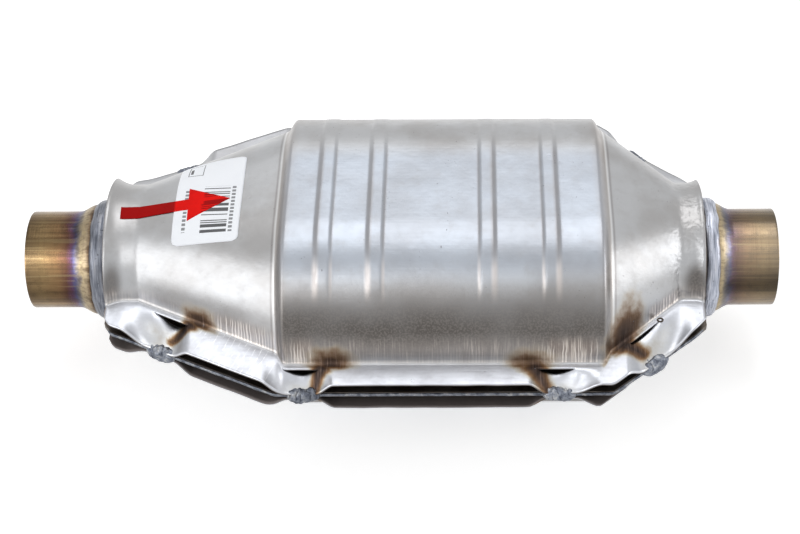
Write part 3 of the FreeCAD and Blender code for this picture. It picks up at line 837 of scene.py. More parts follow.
def flange_curve(setback, outlet_setback, blur=RIM_BLUR):
    """Half-width of a flange's plan outline along DENSE_X."""
    inlet_half = COLLAR_RADIUS + COLLAR_FLANGE
    outlet_half = inlet_half - outlet_setback
    xs = [X_COLLAR_IN, X_COLLAR_IN + 0.3 * INLET_CORNER, X_COLLAR_IN + INLET_LIP_LENGTH, X_BODY_IN,
          X_BODY_OUT - outlet_setback, X_COLLAR_OUT - OUTLET_LIP_LENGTH, X_COLLAR_OUT]
    ys = [inlet_half - INLET_CORNER, inlet_half - 0.35 * INLET_CORNER, inlet_half, FLANGE_HALF,
          FLANGE_HALF, outlet_half, outlet_half - OUTLET_CORNER]
    return blurred(DENSE_X, np.interp(DENSE_X, xs, np.array(ys) - setback), blur)


def at(curve, x):
    """A curve's value at places along X."""
    return np.interp(x, DENSE_X, curve)


TACKS = [sum(node_box("front_tack_weld_%d" % number))[0] / 2 for number in range(1, 5)]   # places along X


# ---------------------------------------------------------------- heat shields
CLOSEST_STATIONS = 0.35


def shield_columns(step):
    """Stations along X, closer at the ribs and the risers."""
    xs = list(np.arange(X_COLLAR_IN, X_COLLAR_OUT, step)) + [X_COLLAR_OUT]
    for place in RIB_PLACES:
        rib = X_BODY_IN + place
        xs += list(np.arange(rib - RIB_WIDTH / 2 - 0.5, rib + RIB_WIDTH / 2 + 0.6, 0.5 * step))
    for start in (X_BODY_IN - 1, X_BODY_OUT - RISER - 1):
        xs += list(np.arange(start, start + RISER + 2, 0.45))
    xs = np.unique(np.round(xs, 3))
    keep = [xs[0]]
    for x in xs[1:]:
        if x - keep[-1] > CLOSEST_STATIONS:
            keep.append(x)
    keep[-1] = X_COLLAR_OUT
    return np.array(keep)


def half_section(x, edge, fine):
    """One side of the section at every station: arrays (stations, rows) of y and z, rim to crown.

    The rows cross the strip to the slit's line, then the root bend, the wall and the flat top."""
    flat = at(FLAT, x)[:, None]
    radius = at(RADIUS, x)[:, None]
    edge = edge[:, None]
    reach = np.sqrt((radius + ROOT) ** 2 - (SHIELD_FACE + ROOT) ** 2)
    foot = flat + reach
    outer = np.linspace(1, 0, fine["strip"] + 1)[None, :]
    inner = np.linspace(1, 0, 4)[None, 1:]
    y = [lerp(foot + SLIT_OFFSET, edge, outer), foot + SLIT_OFFSET * inner]
    z = [np.full_like(rows, SHIELD_FACE) for rows in y]
    lean = np.arctan2(SHIELD_FACE + ROOT, reach)
    # the root bend turns from straight down to straight back at the wall's centre
    bend = lerp(-math.pi / 2, lean - math.pi, np.linspace(0, 1, fine["root"] + 1)[None, 1:])
    y.append(foot + ROOT * np.cos(bend))
    z.append(SHIELD_FACE + ROOT + ROOT * np.sin(bend))
    climb = lerp(lean, math.pi / 2, np.linspace(0, 1, fine["wall"] + 1)[None, 1:])
    y.append(flat + radius * np.cos(climb))
    z.append(radius * np.sin(climb))
    across = np.linspace(1, 0, fine["flat"] + 1)[None, 1:]
    y.append(flat * across)
    z.append(radius + 0 * y[-1])
    return np.concatenate(y, 1), np.concatenate(z, 1)


RIM_DROP = 0.97                   # share of the full drop that the rim makes at a tack
RIM_REST = 1.55                   # over 1 keeps the rim down for a while on both sides of it


def strip_dip(x, share, reaches):
    """How far the flange dips at the tacks: share is 0 at the slit's line and 1 at the rim."""
    dip = np.zeros(np.broadcast(x, share).shape)
    full = SHIELD_FACE - SHEET - CAN_SHEET
    for place, (start, end), steep, depth, skew, long_reach in zip(
            TACKS, SLIT_ENDS, STEEP_SIDES, SLIT_DEPTHS, SLIT_SKEWS, reaches):
        u = np.clip((x - place - start) / (end - start), 0, 1) ** skew
        slit = depth * full * np.sin(math.pi * u)
        off = (x - place) * steep
        reach = np.where(off > 0, STEEP_REACH, long_reach)
        rim = RIM_DROP * full * smooth(RIM_REST * np.clip(1 - np.abs(off) / reach, 0, 1))
        dip = np.maximum(dip, lerp(slit, rim, smooth(share)))
    return dip


def near_slit(x):
    """Whether a station lies on a slit, clear of both its ends."""
    return any(start + 0.5 < x - place < end - 0.5 for place, (start, end) in zip(TACKS, SLIT_ENDS))


def one_side(side, x, y, z, edge, slit_row, seed):
    """Half a shield, side -1 in front: its y, its z and its dip at every station, rim to crown."""
    xx = np.repeat(x[:, None], y.shape[1], 1)
    flat = at(FLAT, x)[:, None]
    lean = np.arctan2(z, np.maximum(y - flat, 0))
    ny = np.where(y > flat, np.cos(lean), 0.0)
    nz = np.where(y > flat, np.sin(lean), 1.0)
    points = np.stack([xx, side * y, z], -1)
    wave = value_noise(points.reshape(-1, 3), 42.0, seed + side, 2).reshape(y.shape)
    push = -0.16 * np.abs(wave) * smooth((z - SHIELD_FACE - 1.0) / 12.0)
    slit = y[:, slit_row][:, None]
    share = np.clip((y - slit) / (edge[:, None] - slit), 0, 1)
    ripple = 0.22 * value_noise((points * [1, 0, 0]).reshape(-1, 3), 15.0, seed + 3 * side, 2)
    dip = strip_dip(xx, share, FRONT_REACHES if side < 0 else REAR_REACHES)
    dip = dip - ripple.reshape(y.shape) * share
    return side * (y + push * ny), z + push * nz, dip


def shield_sheet(name, way, setback, outlet_setback, step, fine, seed):
    """One shield as a sheet with its root bends, slits and pressed strips; way is 1 above and -1 below."""
    x = shield_columns(step)
    edge = at(flange_curve(setback, outlet_setback), x)
    edge = edge - 0.35 * np.abs(value_noise(np.stack([x, 0 * x, 0 * x], 1), 26.0, seed, 2))
    y, z = half_section(x, edge, fine)
    slit_row = fine["strip"]
    halves = [one_side(side, x, y, z, edge, slit_row, seed) for side in (-1, 1)]
    # rows from the front rim to the crown, then on to the rear rim
    py, pz, dip = (np.concatenate([front, rear[:, -2::-1]], 1) for front, rear in zip(*halves))
    total = py.shape[1]
    row = np.arange(total)
    slit_rows = (slit_row, total - 1 - slit_row)
    outside = (row <= slit_rows[0]) | (row >= slit_rows[1])
    points = np.stack([np.repeat(x[:, None], total, 1), py, pz - outside * dip], -1)
    points = list(points.reshape(-1, 3))

    # along each slit the root side keeps its own points, level with the flange
    twin = {}
    for c, place in enumerate(x):
        for r in slit_rows:
            if near_slit(place):
                twin[c * total + r] = len(points)
                points.append(np.array([place, py[c, r], pz[c, r]]))
            else:
                points[c * total + r][2] = pz[c, r]
    faces = []
    for quad in grid_faces(len(x), total):
        if slit_rows[0] <= quad[0] % total < slit_rows[1]:
            quad = tuple(twin.get(corner, corner) for corner in quad)
        faces.append(quad if way < 0 else quad[::-1])
    return mesh_object(name, np.array(points) * [1, 1, way], faces)


# ---------------------------------------------------------------- turned and welded pieces
def turned(name, outline, steps):
    """A closed profile of (x, r), turned about the X axis."""
    points = []
    for a in np.arange(steps) / steps * 2 * math.pi:
        points += [(x, -r * math.cos(a), r * math.sin(a)) for x, r in outline]
    return mesh_object(name, points, grid_faces(steps, len(outline), True, True))


def flare_points(xa, ra, xb, rb, count=14):
    """Points of a smooth flare from radius ra at xa to rb at xb."""
    return [(lerp(xa, xb, u), lerp(ra, rb, float(smooth(u)))) for u in np.linspace(0, 1, count)]


def pipe_stub(name, mouth, way, flare_start, end, node):
    """Belled tube with a slightly broken mouth edge."""
    inner = PIPE_RADIUS - PIPE_WALL
    bell_inner = BELL_RADIUS - PIPE_WALL
    flare = mouth + way * flare_start
    bell = flare + way * FLARE_LENGTH
    outline = [(mouth, inner + 0.25), (mouth, PIPE_RADIUS - 0.35), (mouth + way * 0.12, PIPE_RADIUS - 0.1)]
    outline += [(x, PIPE_RADIUS) for x in np.linspace(mouth + way * 0.4, flare, 26)[:-1]]
    outline += flare_points(flare, PIPE_RADIUS, bell, BELL_RADIUS)
    outline += [(end, BELL_RADIUS), (end, bell_inner)]
    outline += flare_points(bell, bell_inner, flare, inner)
    outline += [(mouth + way * 0.3, inner)]
    finish_piece(turned(name, outline[::way], 160), PIPE_STEEL, "pipe_steel", node)


def ring_bead(name, node, neck_end, way, width, seed):
    """Weld ring from the bell over the end of the neck, with its ripples, pits and lumps."""
    steps, columns = 280, 15
    u = np.linspace(0, 1, columns)
    turn = np.arange(steps) / steps * 2 * math.pi
    crown = np.sin(np.pi * u) ** 0.55
    base = lerp(BELL_RADIUS - 0.4, NECK_RADIUS - 0.5, smooth(u * 2))
    radii = base + crown * (NECK_RADIUS + 0.75 - base)
    xx, tt = np.meshgrid(neck_end + way * width * (u - RING_LEAD), turn)
    middle = (BELL_RADIUS + NECK_RADIUS) / 2 - 0.1
    where = np.stack([xx, middle * np.cos(tt), middle * np.sin(tt)], -1).reshape(-1, 3)
    ripple = 0.05 * np.sin(tt * 110 + 13 * (u - 0.5) ** 2)
    lumps = 0.30 * value_noise(where, 9.0, seed, 2).reshape(tt.shape)
    grain = 0.05 * value_noise(where, 1.6, seed + 5, 2).reshape(tt.shape)
    rr = np.minimum(radii + crown * (ripple + lumps + grain - 0.1), NECK_RADIUS + 1.0)
    crest = NECK_RADIUS + 1.1
    circle = np.stack([0 * turn, crest * np.cos(turn), crest * np.sin(turn)], 1)
    wander = 0.55 * value_noise(circle, 9.0, seed + 9, 2)
    xx = xx + wander[:, None] * (0.25 + 0.75 * np.abs(u * 2 - 1))
    outer = np.stack([xx, -rr * np.cos(tt), rr * np.sin(tt)], -1).reshape(-1, 3)
    lining = BELL_RADIUS - 0.7
    inner = np.stack([np.repeat(neck_end, steps), -lining * np.cos(turn), lining * np.sin(turn)], -1)

    first = steps * columns
    faces = grid_faces(steps, columns, False, True)
    for s in range(steps):
        t = (s + 1) % steps
        faces.append((s * columns, t * columns, first + t, first + s))
        faces.append((s * columns + columns - 1, first + s, first + t, t * columns + columns - 1))
    piece = mesh_object(name, np.concatenate([outer, inner]), [face[::way] for face in faces])

    mesh = piece.data
    corners = np.array([loop.vertex_index for loop in mesh.loops])
    column = np.where(corners < first, corners % columns, 0) / columns
    around = np.where(corners < first, corners // columns, corners - first) / steps
    # on the faces that close the ring, the corners at 0 count as 1
    starts = [face.loop_start for face in mesh.polygons]
    sizes = [face.loop_total for face in mesh.polygons]
    closing = np.repeat(np.maximum.reduceat(around, starts), sizes) > 0.5
    around = np.where((around == 0) & closing, 1.0, around)
    layer = mesh.uv_layers.new(name="bead")
    layer.data.foreach_set("uv", np.stack([around, column], -1).astype(np.float32).ravel())
    finish_piece(piece, RING_WELD, "weld_metal", node)


# ---------------------------------------------------------------- attributes on the shields
def root_half(x):
    """Half-width of the line where the wall's bend meets the flange."""
    return at(FLAT, x) + np.sqrt((at(RADIUS, x) + ROOT) ** 2 - (SHIELD_FACE + ROOT) ** 2)


# each weld's smoky patch on the wall: middle from the tack along X, half-width, height up the wall, strength
SMOKE = ((17.5, 11.5, 10.5, 0.78), (12.5, 15.0, 10.5, 0.85),
         (-13.5, 17.0, 10.5, 0.62), (-15.0, 13.0, 24.0, 1.0))
SMOKE_REACH = 3.8                 # how far a patch comes down over the flange
SMOKE_SQUARENESS = 2.2            # 2 would make the patches ellipses
RAMP_WIDTHS = (4.8, 5.5, 8.0, 6.0)   # tempered width between each slit's end and its weld


def temper_at(points):
    """0 to 1: how strongly the welds tempered the sheet at points in millimetres."""
    x, y, z = points[:, 0], points[:, 1], np.abs(points[:, 2])
    beyond = np.abs(y) - root_half(x)
    climb = np.maximum(0, z - SHIELD_FACE)
    ragged = 0.18 * value_noise(points, 9.0, 5.0, 2) + 0.08 * value_noise(points, 2.4, 7.0, 3)
    temper = np.zeros(len(points))
    for place, ends, steep, smoke, width in zip(TACKS, SLIT_ENDS, STEEP_SIDES, SMOKE, RAMP_WIDTHS):
        middle, half, tall, strength = smoke
        end = ends[1] if steep > 0 else ends[0]
        off = x - place
        reaches = (np.abs(off - middle) / half, climb / tall, np.maximum(0, beyond) / SMOKE_REACH)
        r = sum(reach ** SMOKE_SQUARENESS for reach in reaches) ** (1 / SMOKE_SQUARENESS)
        wall = 1.2 * strength * (1 - r - ragged)
        r = np.sqrt(((off - end - steep * 1.5) / (1.3 * width)) ** 2 + ((beyond - SLIT_OFFSET) / 4.8) ** 2
                    + (climb / 4.0) ** 2)
        tip = 1.2 * (1 - r - 0.5 * ragged)
        # the steep ramp between the slit's end and the weld
        ax, ay = end + steep * 1.0, SLIT_OFFSET
        dx, dy = steep * 4.5 - ax, 13.0 - ay
        share = np.clip(((off - ax) * dx + (beyond - ay) * dy) / (dx * dx + dy * dy), 0, 1)
        r = np.hypot(off - ax - dx * share, beyond - ay - dy * share) / lerp(width, 0.76 * width, share)
        ramp = lerp(1.25, 0.85, share) * (1 - r - 0.6 * ragged) * (climb < 1)
        straw = 0.2 * np.exp(-((off / 12.0) ** 2)) * smooth((beyond - 3.5) / 6.0) * (climb < 1)
        side = np.where(y < 0, 1.0, 0.85)
        temper = np.maximum(temper, side * np.maximum(np.maximum(wall, tip), np.maximum(ramp, straw)))
    return np.clip(temper, 0, 1)


def flange_at(points):
    """1 on the flanges, which keep the mill's bright face, and 0 on the drawn form."""
    x, y, z = points[:, 0], points[:, 1], np.abs(points[:, 2])
    return smooth((np.abs(y) - root_half(x) + 1.0) / 2.0) * (z < SHIELD_FACE + 0.8)


def lean_at(points):
    """Lean of the wall at points: 0 where it stands upright, 90 on the flat top."""
    return np.degrees(np.arcsin(np.clip(np.abs(points[:, 2]) / at(RADIUS, points[:, 0]), 0, 1)))


# lengths of the walls that were drawn hardest
DRAWN_ZONES = ((X_CONE_IN + 34.0, X_BODY_IN - 1.0), (X_BODY_IN + 5.0, X_BODY_IN + 22.0),
               (X_BODY_OUT - 34.0, X_BODY_OUT - 4.0), (X_CONE_OUT - 20.0, X_CONE_OUT + 2.0))


def drawn_at(points):
    """0 to 1: drawing marks and painted shade, strongest on the steep walls above the root bend."""
    x, y, z = points[:, 0], points[:, 1], np.abs(points[:, 2])
    zone = 0.4 + 0.2 * value_noise(np.stack([x, 0 * x, 0 * x], 1), 24.0, 31.0, 2)
    for start, end in DRAWN_ZONES:
        zone = np.maximum(zone, smooth((x - start) / 6) * smooth((end - x) / 6))
    return zone * smooth((27 - lean_at(points)) / 8) * (z > SHIELD_FACE + 0.3) * (np.abs(y) > at(FLAT, x))


# the lean where the body's painted shade band starts, is darkest and ends
SHADE_FROM, SHADE_MOST, SHADE_TO = -8.0, 27.5, 54.5   # degrees of lean
# darker spots on the collars: middle along X, half-length, height, half-height, depth
COLLAR_SPOTS = ((X_COLLAR_IN + 3.0, 4.5, 18.0, 7.5, 0.75), (X_COLLAR_OUT - 4.0, 5.5, 17.0, 7.0, 1.0))


def shade_and_spots_at(points):
    """0 to 1: a painted shade band low on the body's shoulders and on the cones, and darker spots on the
    collars.
    """
    x, y, z = points[:, 0], points[:, 1], np.abs(points[:, 2])
    lean = lean_at(points)
    low = smooth((z - SHIELD_FACE - 1) / 4) * (np.abs(y) > at(FLAT, x))
    body = smooth((x - X_BODY_IN - 2) / 3) * smooth((X_BODY_OUT - 2 - x) / 3)
    cone = smooth((x - X_CONE_IN) / 12) * smooth((X_BODY_IN + 4 - x) / 30)
    rising = (lean - SHADE_FROM) / (SHADE_MOST - SHADE_FROM)
    falling = 1 - np.clip((lean - SHADE_MOST) / (SHADE_TO - SHADE_MOST), 0, 1) ** 1.6
    band = 0.96 * np.clip(np.minimum(rising, falling), 0, 1)
    dull = low * (body * band + 0.45 * cone * smooth((40 - lean) / 14))
    for middle, half, height, spread, depth in COLLAR_SPOTS:
        r = ((x - middle) / half) ** 2 + ((z - height) / spread) ** 2
        dull = np.maximum(dull, depth * np.exp(-r * r) * (np.abs(y) > at(FLAT, x)))
    return np.clip(dull * (1 + 0.12 * value_noise(points, 20.0, 12.0, 3)), 0, 1)


def set_attribute(piece, name, values):
    """A number for each point of a piece, for its material to read."""
    layer = piece.data.attributes.new(name, "FLOAT", "POINT")
    layer.data.foreach_set("value", np.asarray(values, np.float32))


def own_points(piece):
    """The piece's points in millimetres."""
    flat = np.empty(len(piece.data.vertices) * 3, np.float32)
    piece.data.vertices.foreach_get("co", flat)
    return flat.reshape(-1, 3) / MM


# ---------------------------------------------------------------- films on the upper shield
LABEL_LENGTH = 33.0
LABEL_SPAN = 58.0
LABEL_CORNER = 3.0
LABEL_SHEET = 0.12
LABEL_PLACE = 17.4                # from the start of the inlet cone
LABEL_MIDDLE = (X_CONE_IN + LABEL_PLACE + LABEL_LENGTH / 2, 1.0)
LABEL_SLANT = math.tan(math.radians(-7.8))
ARROW_TAIL = (X_COLLAR_IN + 6.5, -4.6)
ARROW_TURN = math.radians(2.0)
ARROW_SHEET = 0.1
ARROW_STATIONS = ((0.0, 3.6), (33.0, 3.6), (33.02, 11.0), (53.5, 0.05))   # from its tail, half-width


def film(name, u, v, origin, axes, lift, sheet):
    """A film wrapped over the upper shield from a grid of plan places, with closed edges."""
    columns, rows = u.shape
    (ux, uy), (vx, vy) = axes
    x = origin[0] + u * ux + v * vx
    y = origin[1] + u * uy + v * vy
    flat, radius = at(FLAT, x), at(RADIUS, x)
    beyond = np.maximum(0, np.abs(y) - flat) * np.sign(y)
    layers = []
    for height in (lift + sheet, lift):
        z = np.sqrt(np.maximum((radius + height) ** 2 - beyond ** 2, 0))
        layers.append(np.stack([x, y, z], -1).reshape(-1, 3))
    count = columns * rows
    faces = [f[::-1] for f in grid_faces(columns, rows)]
    faces += [tuple(i + count for i in f[::-1]) for f in faces]
    rim = [c * rows for c in range(columns)]
    rim += [(columns - 1) * rows + r for r in range(1, rows)]
    rim += [c * rows + rows - 1 for c in range(columns - 2, -1, -1)]
    rim += list(range(rows - 2, 0, -1))
    for a, b in zip(rim, rim[1:] + rim[:1]):
        faces.append((a, b, b + count, a + count)[::-1])
    piece = mesh_object(name, np.concatenate(layers), faces)
    uv = piece.data.uv_layers.new(name="plan")
    plan = np.stack([u - u.min(), v - v.min()], -1).reshape(-1, 2) / UV_UNIT
    for loop in piece.data.loops:
        uv.data[loop.index].uv = plan[loop.vertex_index % count]
    return piece


def label():
    """The white label, a rectangle with round corners, skewed to lie as it was stuck on."""
    columns, rows = 34, 61
    v = np.linspace(-LABEL_SPAN / 2, LABEL_SPAN / 2, rows)
    end = np.clip(np.abs(v) - (LABEL_SPAN / 2 - LABEL_CORNER), 0, LABEL_CORNER)
    half = LABEL_LENGTH / 2 - LABEL_CORNER + np.sqrt(LABEL_CORNER ** 2 - end ** 2)
    u = np.linspace(-1, 1, columns)[:, None] * half[None, :]
    piece = film("paper_label", u, np.repeat(v[None, :], columns, 0), LABEL_MIDDLE,
                 ((1, LABEL_SLANT), (0, 1)), 0.0, LABEL_SHEET)
    finish_piece(piece, LABEL_PAPER, "label_film", "label")


def flow_arrow():
    """The red arrow, which points along the flow and whose head lies over the label."""
    columns = 17
    stations = []
    for (ua, ha), (ub, hb) in zip(ARROW_STATIONS, ARROW_STATIONS[1:]):
        steps = max(2, int(ub - ua))
        stations += [(lerp(ua, ub, a), lerp(ha, hb, a)) for a in np.linspace(0, 1, steps, endpoint=False)]
    u, half = np.array(stations + [ARROW_STATIONS[-1]]).T
    v = half[:, None] * np.linspace(-1, 1, columns)[None, :]
    c, s = math.cos(ARROW_TURN), math.sin(ARROW_TURN)
    piece = film("red_flow_arrow", np.repeat(u[:, None], columns, 1), v, ARROW_TAIL, ((c, s), (-s, c)),
                 LABEL_SHEET, ARROW_SHEET)
    x, y, _ = (own_points(piece) - [*LABEL_MIDDLE, 0]).T
    y = y - x * LABEL_SLANT
    backed = (np.abs(x) < LABEL_LENGTH / 2) & (np.abs(y) < LABEL_SPAN / 2)
    x, y = x + LABEL_LENGTH / 2, y + LABEL_SPAN / 2
    over_bars = (x > BARS[0]) & (x < BARS[1]) & (y > BARS[2]) & (y < BARS[3])
    set_attribute(piece, "backed", backed)
    set_attribute(piece, "over_bars", over_bars)
    finish_piece(piece, ARROW_FILM, "arrow_film", "flow_arrow")


# ---------------------------------------------------------------- welds on the flanges
CAN_EDGE = flange_curve(CAN_SETBACK, 0.0, CAN_RIM_BLUR)


def seam_welds():
    """One bead a side, along the stacked edges of the can halves' flanges."""
    xs = np.arange(X_COLLAR_IN + 1.5, X_COLLAR_OUT - 1.2, 1.5)
    chain = [(i, i + 1) for i in range(len(xs) - 1)]
    for side, side_name in ((-1, "front"), (1, "rear")):
        ys = side * (at(CAN_EDGE, xs) + 0.05)
        wander = 0.25 * value_noise(np.stack([xs, ys, 0 * xs], 1), 11.0, 3.0, 2)
        piece = mesh_object(side_name + "_seam_bead", np.stack([xs, ys, wander], 1), [], False, chain)
        with_tree(piece, SEAM_BEAD, SEAM_METAL, {"Seed": 4.0 + side, "Bead Radius": 0.85 * MM})
        baked(piece)
        finish_piece(piece, SEAM_METAL, "weld_metal", side_name + "_seam_weld")


RIPPLE_SKEWS = (1.5, -0.6, 0.9, -1.4)   # how each lump's ripples lean
LUMP_SOOT = (0.12, 0.3, 0.0, 0.0)


def tack_lump(name, middle, along, half, seed, skew):
    """A short heaped weld: ripples like overlapping coins, with swells and a lumpy skin."""
    stations, around = 64, 44
    t = np.linspace(-0.999, 0.999, stations)
    turn = np.arange(around) / around * 2 * math.pi
    tt, aa = np.meshgrid(t, turn, indexing="ij")
    body = (1 - np.abs(tt) ** 2.8) ** 0.5
    phase = tt * 2.7 + skew * 0.8 * np.sin(aa) + 0.2 * np.cos(aa) + 0.1 * seed
    unit = np.stack([tt * 8, np.cos(aa) * 4, np.sin(aa) * 4], -1).reshape(-1, 3)
    phase = phase + 0.7 * value_noise(unit, 6.0, seed, 2).reshape(tt.shape)
    tooth = phase - np.floor(phase)
    ripple = 0.10 * np.sin(math.pi * np.clip(tooth, 0, 1)) ** 0.7
    swell = 0.26 * value_noise(unit, 5.5, seed + 3, 2) + 0.05 * value_noise(unit, 1.6, seed + 8, 3)
    size = body * (0.86 + ripple + swell.reshape(tt.shape))
    out = np.array([-along[1], along[0], 0.0])
    points = (middle + tt[..., None] * half[0] * along + (size * np.cos(aa))[..., None] * half[1] * out
              + (size * np.sin(aa))[..., None] * half[2] * np.array([0, 0, 1.0])).reshape(-1, 3)
    faces = grid_faces(stations, around, True)
    faces.append(tuple(range(around - 1, -1, -1)))
    faces.append(tuple(range((stations - 1) * around, stations * around)))
    piece = mesh_object(name, points, faces)
    groove = np.clip((tooth - 0.86) / 0.12, 0, 1) + np.clip((0.10 - tooth) / 0.10, 0, 1)
    groove = groove * smooth(0.5 + 2.5 * value_noise(unit, 4.0, seed + 12, 2)).reshape(tt.shape)
    return piece, groove.ravel()


def slit_curl():
    """The small curled burr where the outlet cone's front slit ends."""
    x = TACKS[3] + SLIT_ENDS[3][1] + 0.9
    y = -(root_half(np.array([x]))[0] + SLIT_OFFSET + 0.2)
    around, across = 36, 12
    points = []
    for a in np.arange(around) / around * 2 * math.pi:
        for b in np.arange(across) / across * 2 * math.pi:
            r = 1.25 + 0.42 * math.cos(b)
            z = SHIELD_FACE + 0.12 + 0.36 * math.sin(b)
            points.append((x + r * math.cos(a), y + 0.85 * r * math.sin(a), z))
    faces = [face[::-1] for face in grid_faces(around, across, True, True)]
    finish_piece(mesh_object("slit_end_curl", points, faces), CAN_STEEL, "shield_steel")


def tack_welds():
    """Four lumps a side, each inside the box of its own frame node."""
    for side, side_name in ((-1, "front"), (1, "rear")):
        for number, (place, skew) in enumerate(zip(TACKS, RIPPLE_SKEWS), start=1):
            node = "%s_tack_weld_%d" % (side_name, number)
            low, high = node_box(node)
            rise = side * (at(CAN_EDGE, place + 2) - at(CAN_EDGE, place - 2)) / 4
            along = np.array([1.0, rise, 0.0]) / math.hypot(1, rise)
            half_x, half_y, half_z = (high - low) / 2
            length = half_x / along[0] - abs(rise) * 1.2
            piece, groove = tack_lump("%s_tack_lump_%d" % (side_name, number), (low + high) / 2, along,
                                      (length, min(half_y, 3.8), half_z), 3.0 * number + side, skew)
            points = np.clip(own_points(piece), low + 0.02, high - 0.02)
            piece.data.vertices.foreach_set("co", (points * MM).astype(np.float32).ravel())
            piece.data.update()
            set_attribute(piece, "groove", np.clip(groove + LUMP_SOOT[number - 1], 0, 1))
            finish_piece(piece, WELD_METAL, "weld_metal", node)


# ---------------------------------------------------------------- bricks
CHANNEL_PITCH = 2.5
CHANNEL_WEB = 0.42
CHANNEL_DEPTH = 9.0
BRICK_SKIN = 2.2
SKIN_DEPTH = 4.0                  # how far the skin's inner wall runs in from each end
CHANNEL_SUNK = 0.05               # how far the webs lie below the skin's ends


def channel_cell(name, x, way):
    """One square gas channel whose mouth is at x and which runs along way."""
    half = CHANNEL_PITCH / 2
    bore = half - CHANNEL_WEB / 2
    points = []
    for reach, depth in ((half, 0.0), (bore, 0.0), (bore, CHANNEL_DEPTH)):
        points += [(x + way * depth, sy * reach, sz * reach) for sy, sz in SQUARE]
    faces = grid_faces(3, 4, True) + [(8, 9, 10, 11)]
    return mesh_object(name, points, [face[::-way] for face in faces], False)


def oval(flat, radius, count=24):
    """Closed loop of (y, z) round an oval."""
    turn = np.linspace(-math.pi / 2, math.pi / 2, count)
    rear = [(flat + radius * math.cos(a), radius * math.sin(a)) for a in turn]
    return rear + [(-y, -z) for y, z in rear]


def brick(end_name, low, high):
    """A skin with its end faces sunk, and short channels set side by side in both of them."""
    flat, radius = BODY_FLAT, high[2]
    outer, inner = oval(flat, radius), oval(flat, radius - BRICK_SKIN)
    count = len(outer)
    points = []
    for x, loop in ((low[0] + SKIN_DEPTH, inner), (low[0], inner), (low[0], outer),
                    (high[0], outer), (high[0], inner), (high[0] - SKIN_DEPTH, inner)):
        points += [(x, y, z) for y, z in loop]
    faces = grid_faces(6, count, True)
    faces.append(tuple(range(count)))
    faces.append(tuple(range(6 * count - 1, 5 * count - 1, -1)))
    shell = mesh_object(end_name + "_honeycomb_brick", points, faces, False)
    cells = []
    for x, way in ((low[0] + CHANNEL_SUNK, 1), (high[0] - CHANNEL_SUNK, -1)):
        cell = channel_cell("channels", x, way)
        with_tree(cell, HONEYCOMB, CERAMIC, {
            "Flat": flat * MM, "Radius": radius * MM, "Pitch": CHANNEL_PITCH * MM})
        cells.append(baked(cell))
    with bpy.context.temp_override(active_object=shell, selected_editable_objects=[shell] + cells):
        bpy.ops.object.join()
    finish_piece(shell, CERAMIC, "ceramic", end_name + "_brick")


# ---------------------------------------------------------------- build
# faces across each part of a shield's section
FINE = {"strip": 12, "root": 6, "wall": 34, "flat": 14}
COARSE = {"strip": 9, "root": 5, "wall": 22, "flat": 8}
BEADS = {"Bead %d" % (i + 1): float((X_BODY_IN + place) * MM) for i, place in enumerate(RIB_PLACES)}

SHEET_MASKS = {"temper": temper_at, "drawn": drawn_at, "dull": shade_and_spots_at, "flange": flange_at}


def heat_shield(side_name, way, setback, outlet_setback, step, fine, seed):
    """A shield's pressed sheet with its ribs and its thickness, and the weld spatter on it."""
    skin = shield_sheet(side_name + "_shield_skin", way, setback, outlet_setback, step, fine, seed)
    for mask, values in SHEET_MASKS.items():
        set_attribute(skin, mask, values(own_points(skin)))
    spatter = skin.copy()
    spatter.data = skin.data.copy()
    spatter.name = side_name + "_weld_spatter"
    bpy.context.scene.collection.objects.link(spatter)
    with_tree(skin, RAISED_BEADS, SHIELD_STEEL, BEADS)
    wall = skin.modifiers.new("sheet", "SOLIDIFY")
    wall.thickness = SHEET * MM
    wall.offset = -1.0
    baked(skin)
    half_count = len(skin.data.vertices) // 2
    set_attribute(skin, "inside", np.arange(2 * half_count) >= half_count)
    finish_piece(skin, SHIELD_STEEL, "shield_steel", side_name + "_heat_shield")
    with_tree(spatter, WELD_SPATTER, WELD_METAL, {"Seed": int(seed)})
    baked(spatter)
    finish_piece(spatter, WELD_METAL, "weld_metal")


heat_shield("upper", 1, 0.0, 0.0, 1.25, FINE, 2.0)
heat_shield("lower", -1, LOWER_SETBACK, LOWER_OUTLET_SETBACK, 1.8, COARSE, 9.0)
pipe_stub("inlet_bell_pipe", 0.0, 1, INLET_FLARE, X_NECK_IN + BELL_INSERT, "inlet_pipe")
pipe_stub("outlet_bell_pipe", X_OUTLET, -1, OUTLET_FLARE, X_NECK_OUT - BELL_INSERT, "outlet_pipe")
ring_bead("inlet_ring_bead", "inlet_ring_weld", X_NECK_IN, 1, INLET_RING, 3.0)
ring_bead("outlet_ring_bead", "outlet_ring_weld", X_NECK_OUT, -1, OUTLET_RING, 8.0)
seam_welds()
tack_welds()
slit_curl()
for end_name in ("inlet", "outlet"):
    brick(end_name, *node_box(end_name + "_brick"))
label()
flow_arrow()

for name, material in (("upper_can_half", CAN_STEEL), ("lower_can_half", CAN_STEEL),
                       ("inlet_mat", MAT_FIBRE), ("outlet_mat", MAT_FIBRE)):
    NODES[name].data.materials.clear()
    NODES[name].data.materials.append(material)


# ---------------------------------------------------------------- floor, light and camera
PLAIN_LIGHT = 0.50                # what the world lights the object with
FLOOR_GLOW = 0.50
FLOOR_HALF = 4000.0
FLOOR_GAP = 0.3


def shown_directly(n):
    """1 for rays from the camera and for those in reflections and through glass, otherwise 0."""
    ray = n.add("ShaderNodeLightPath", {}, {}, "Is Camera Ray")
    return ray.most(ray.pick("Is Glossy Ray")).most(ray.pick("Is Transmission Ray"))


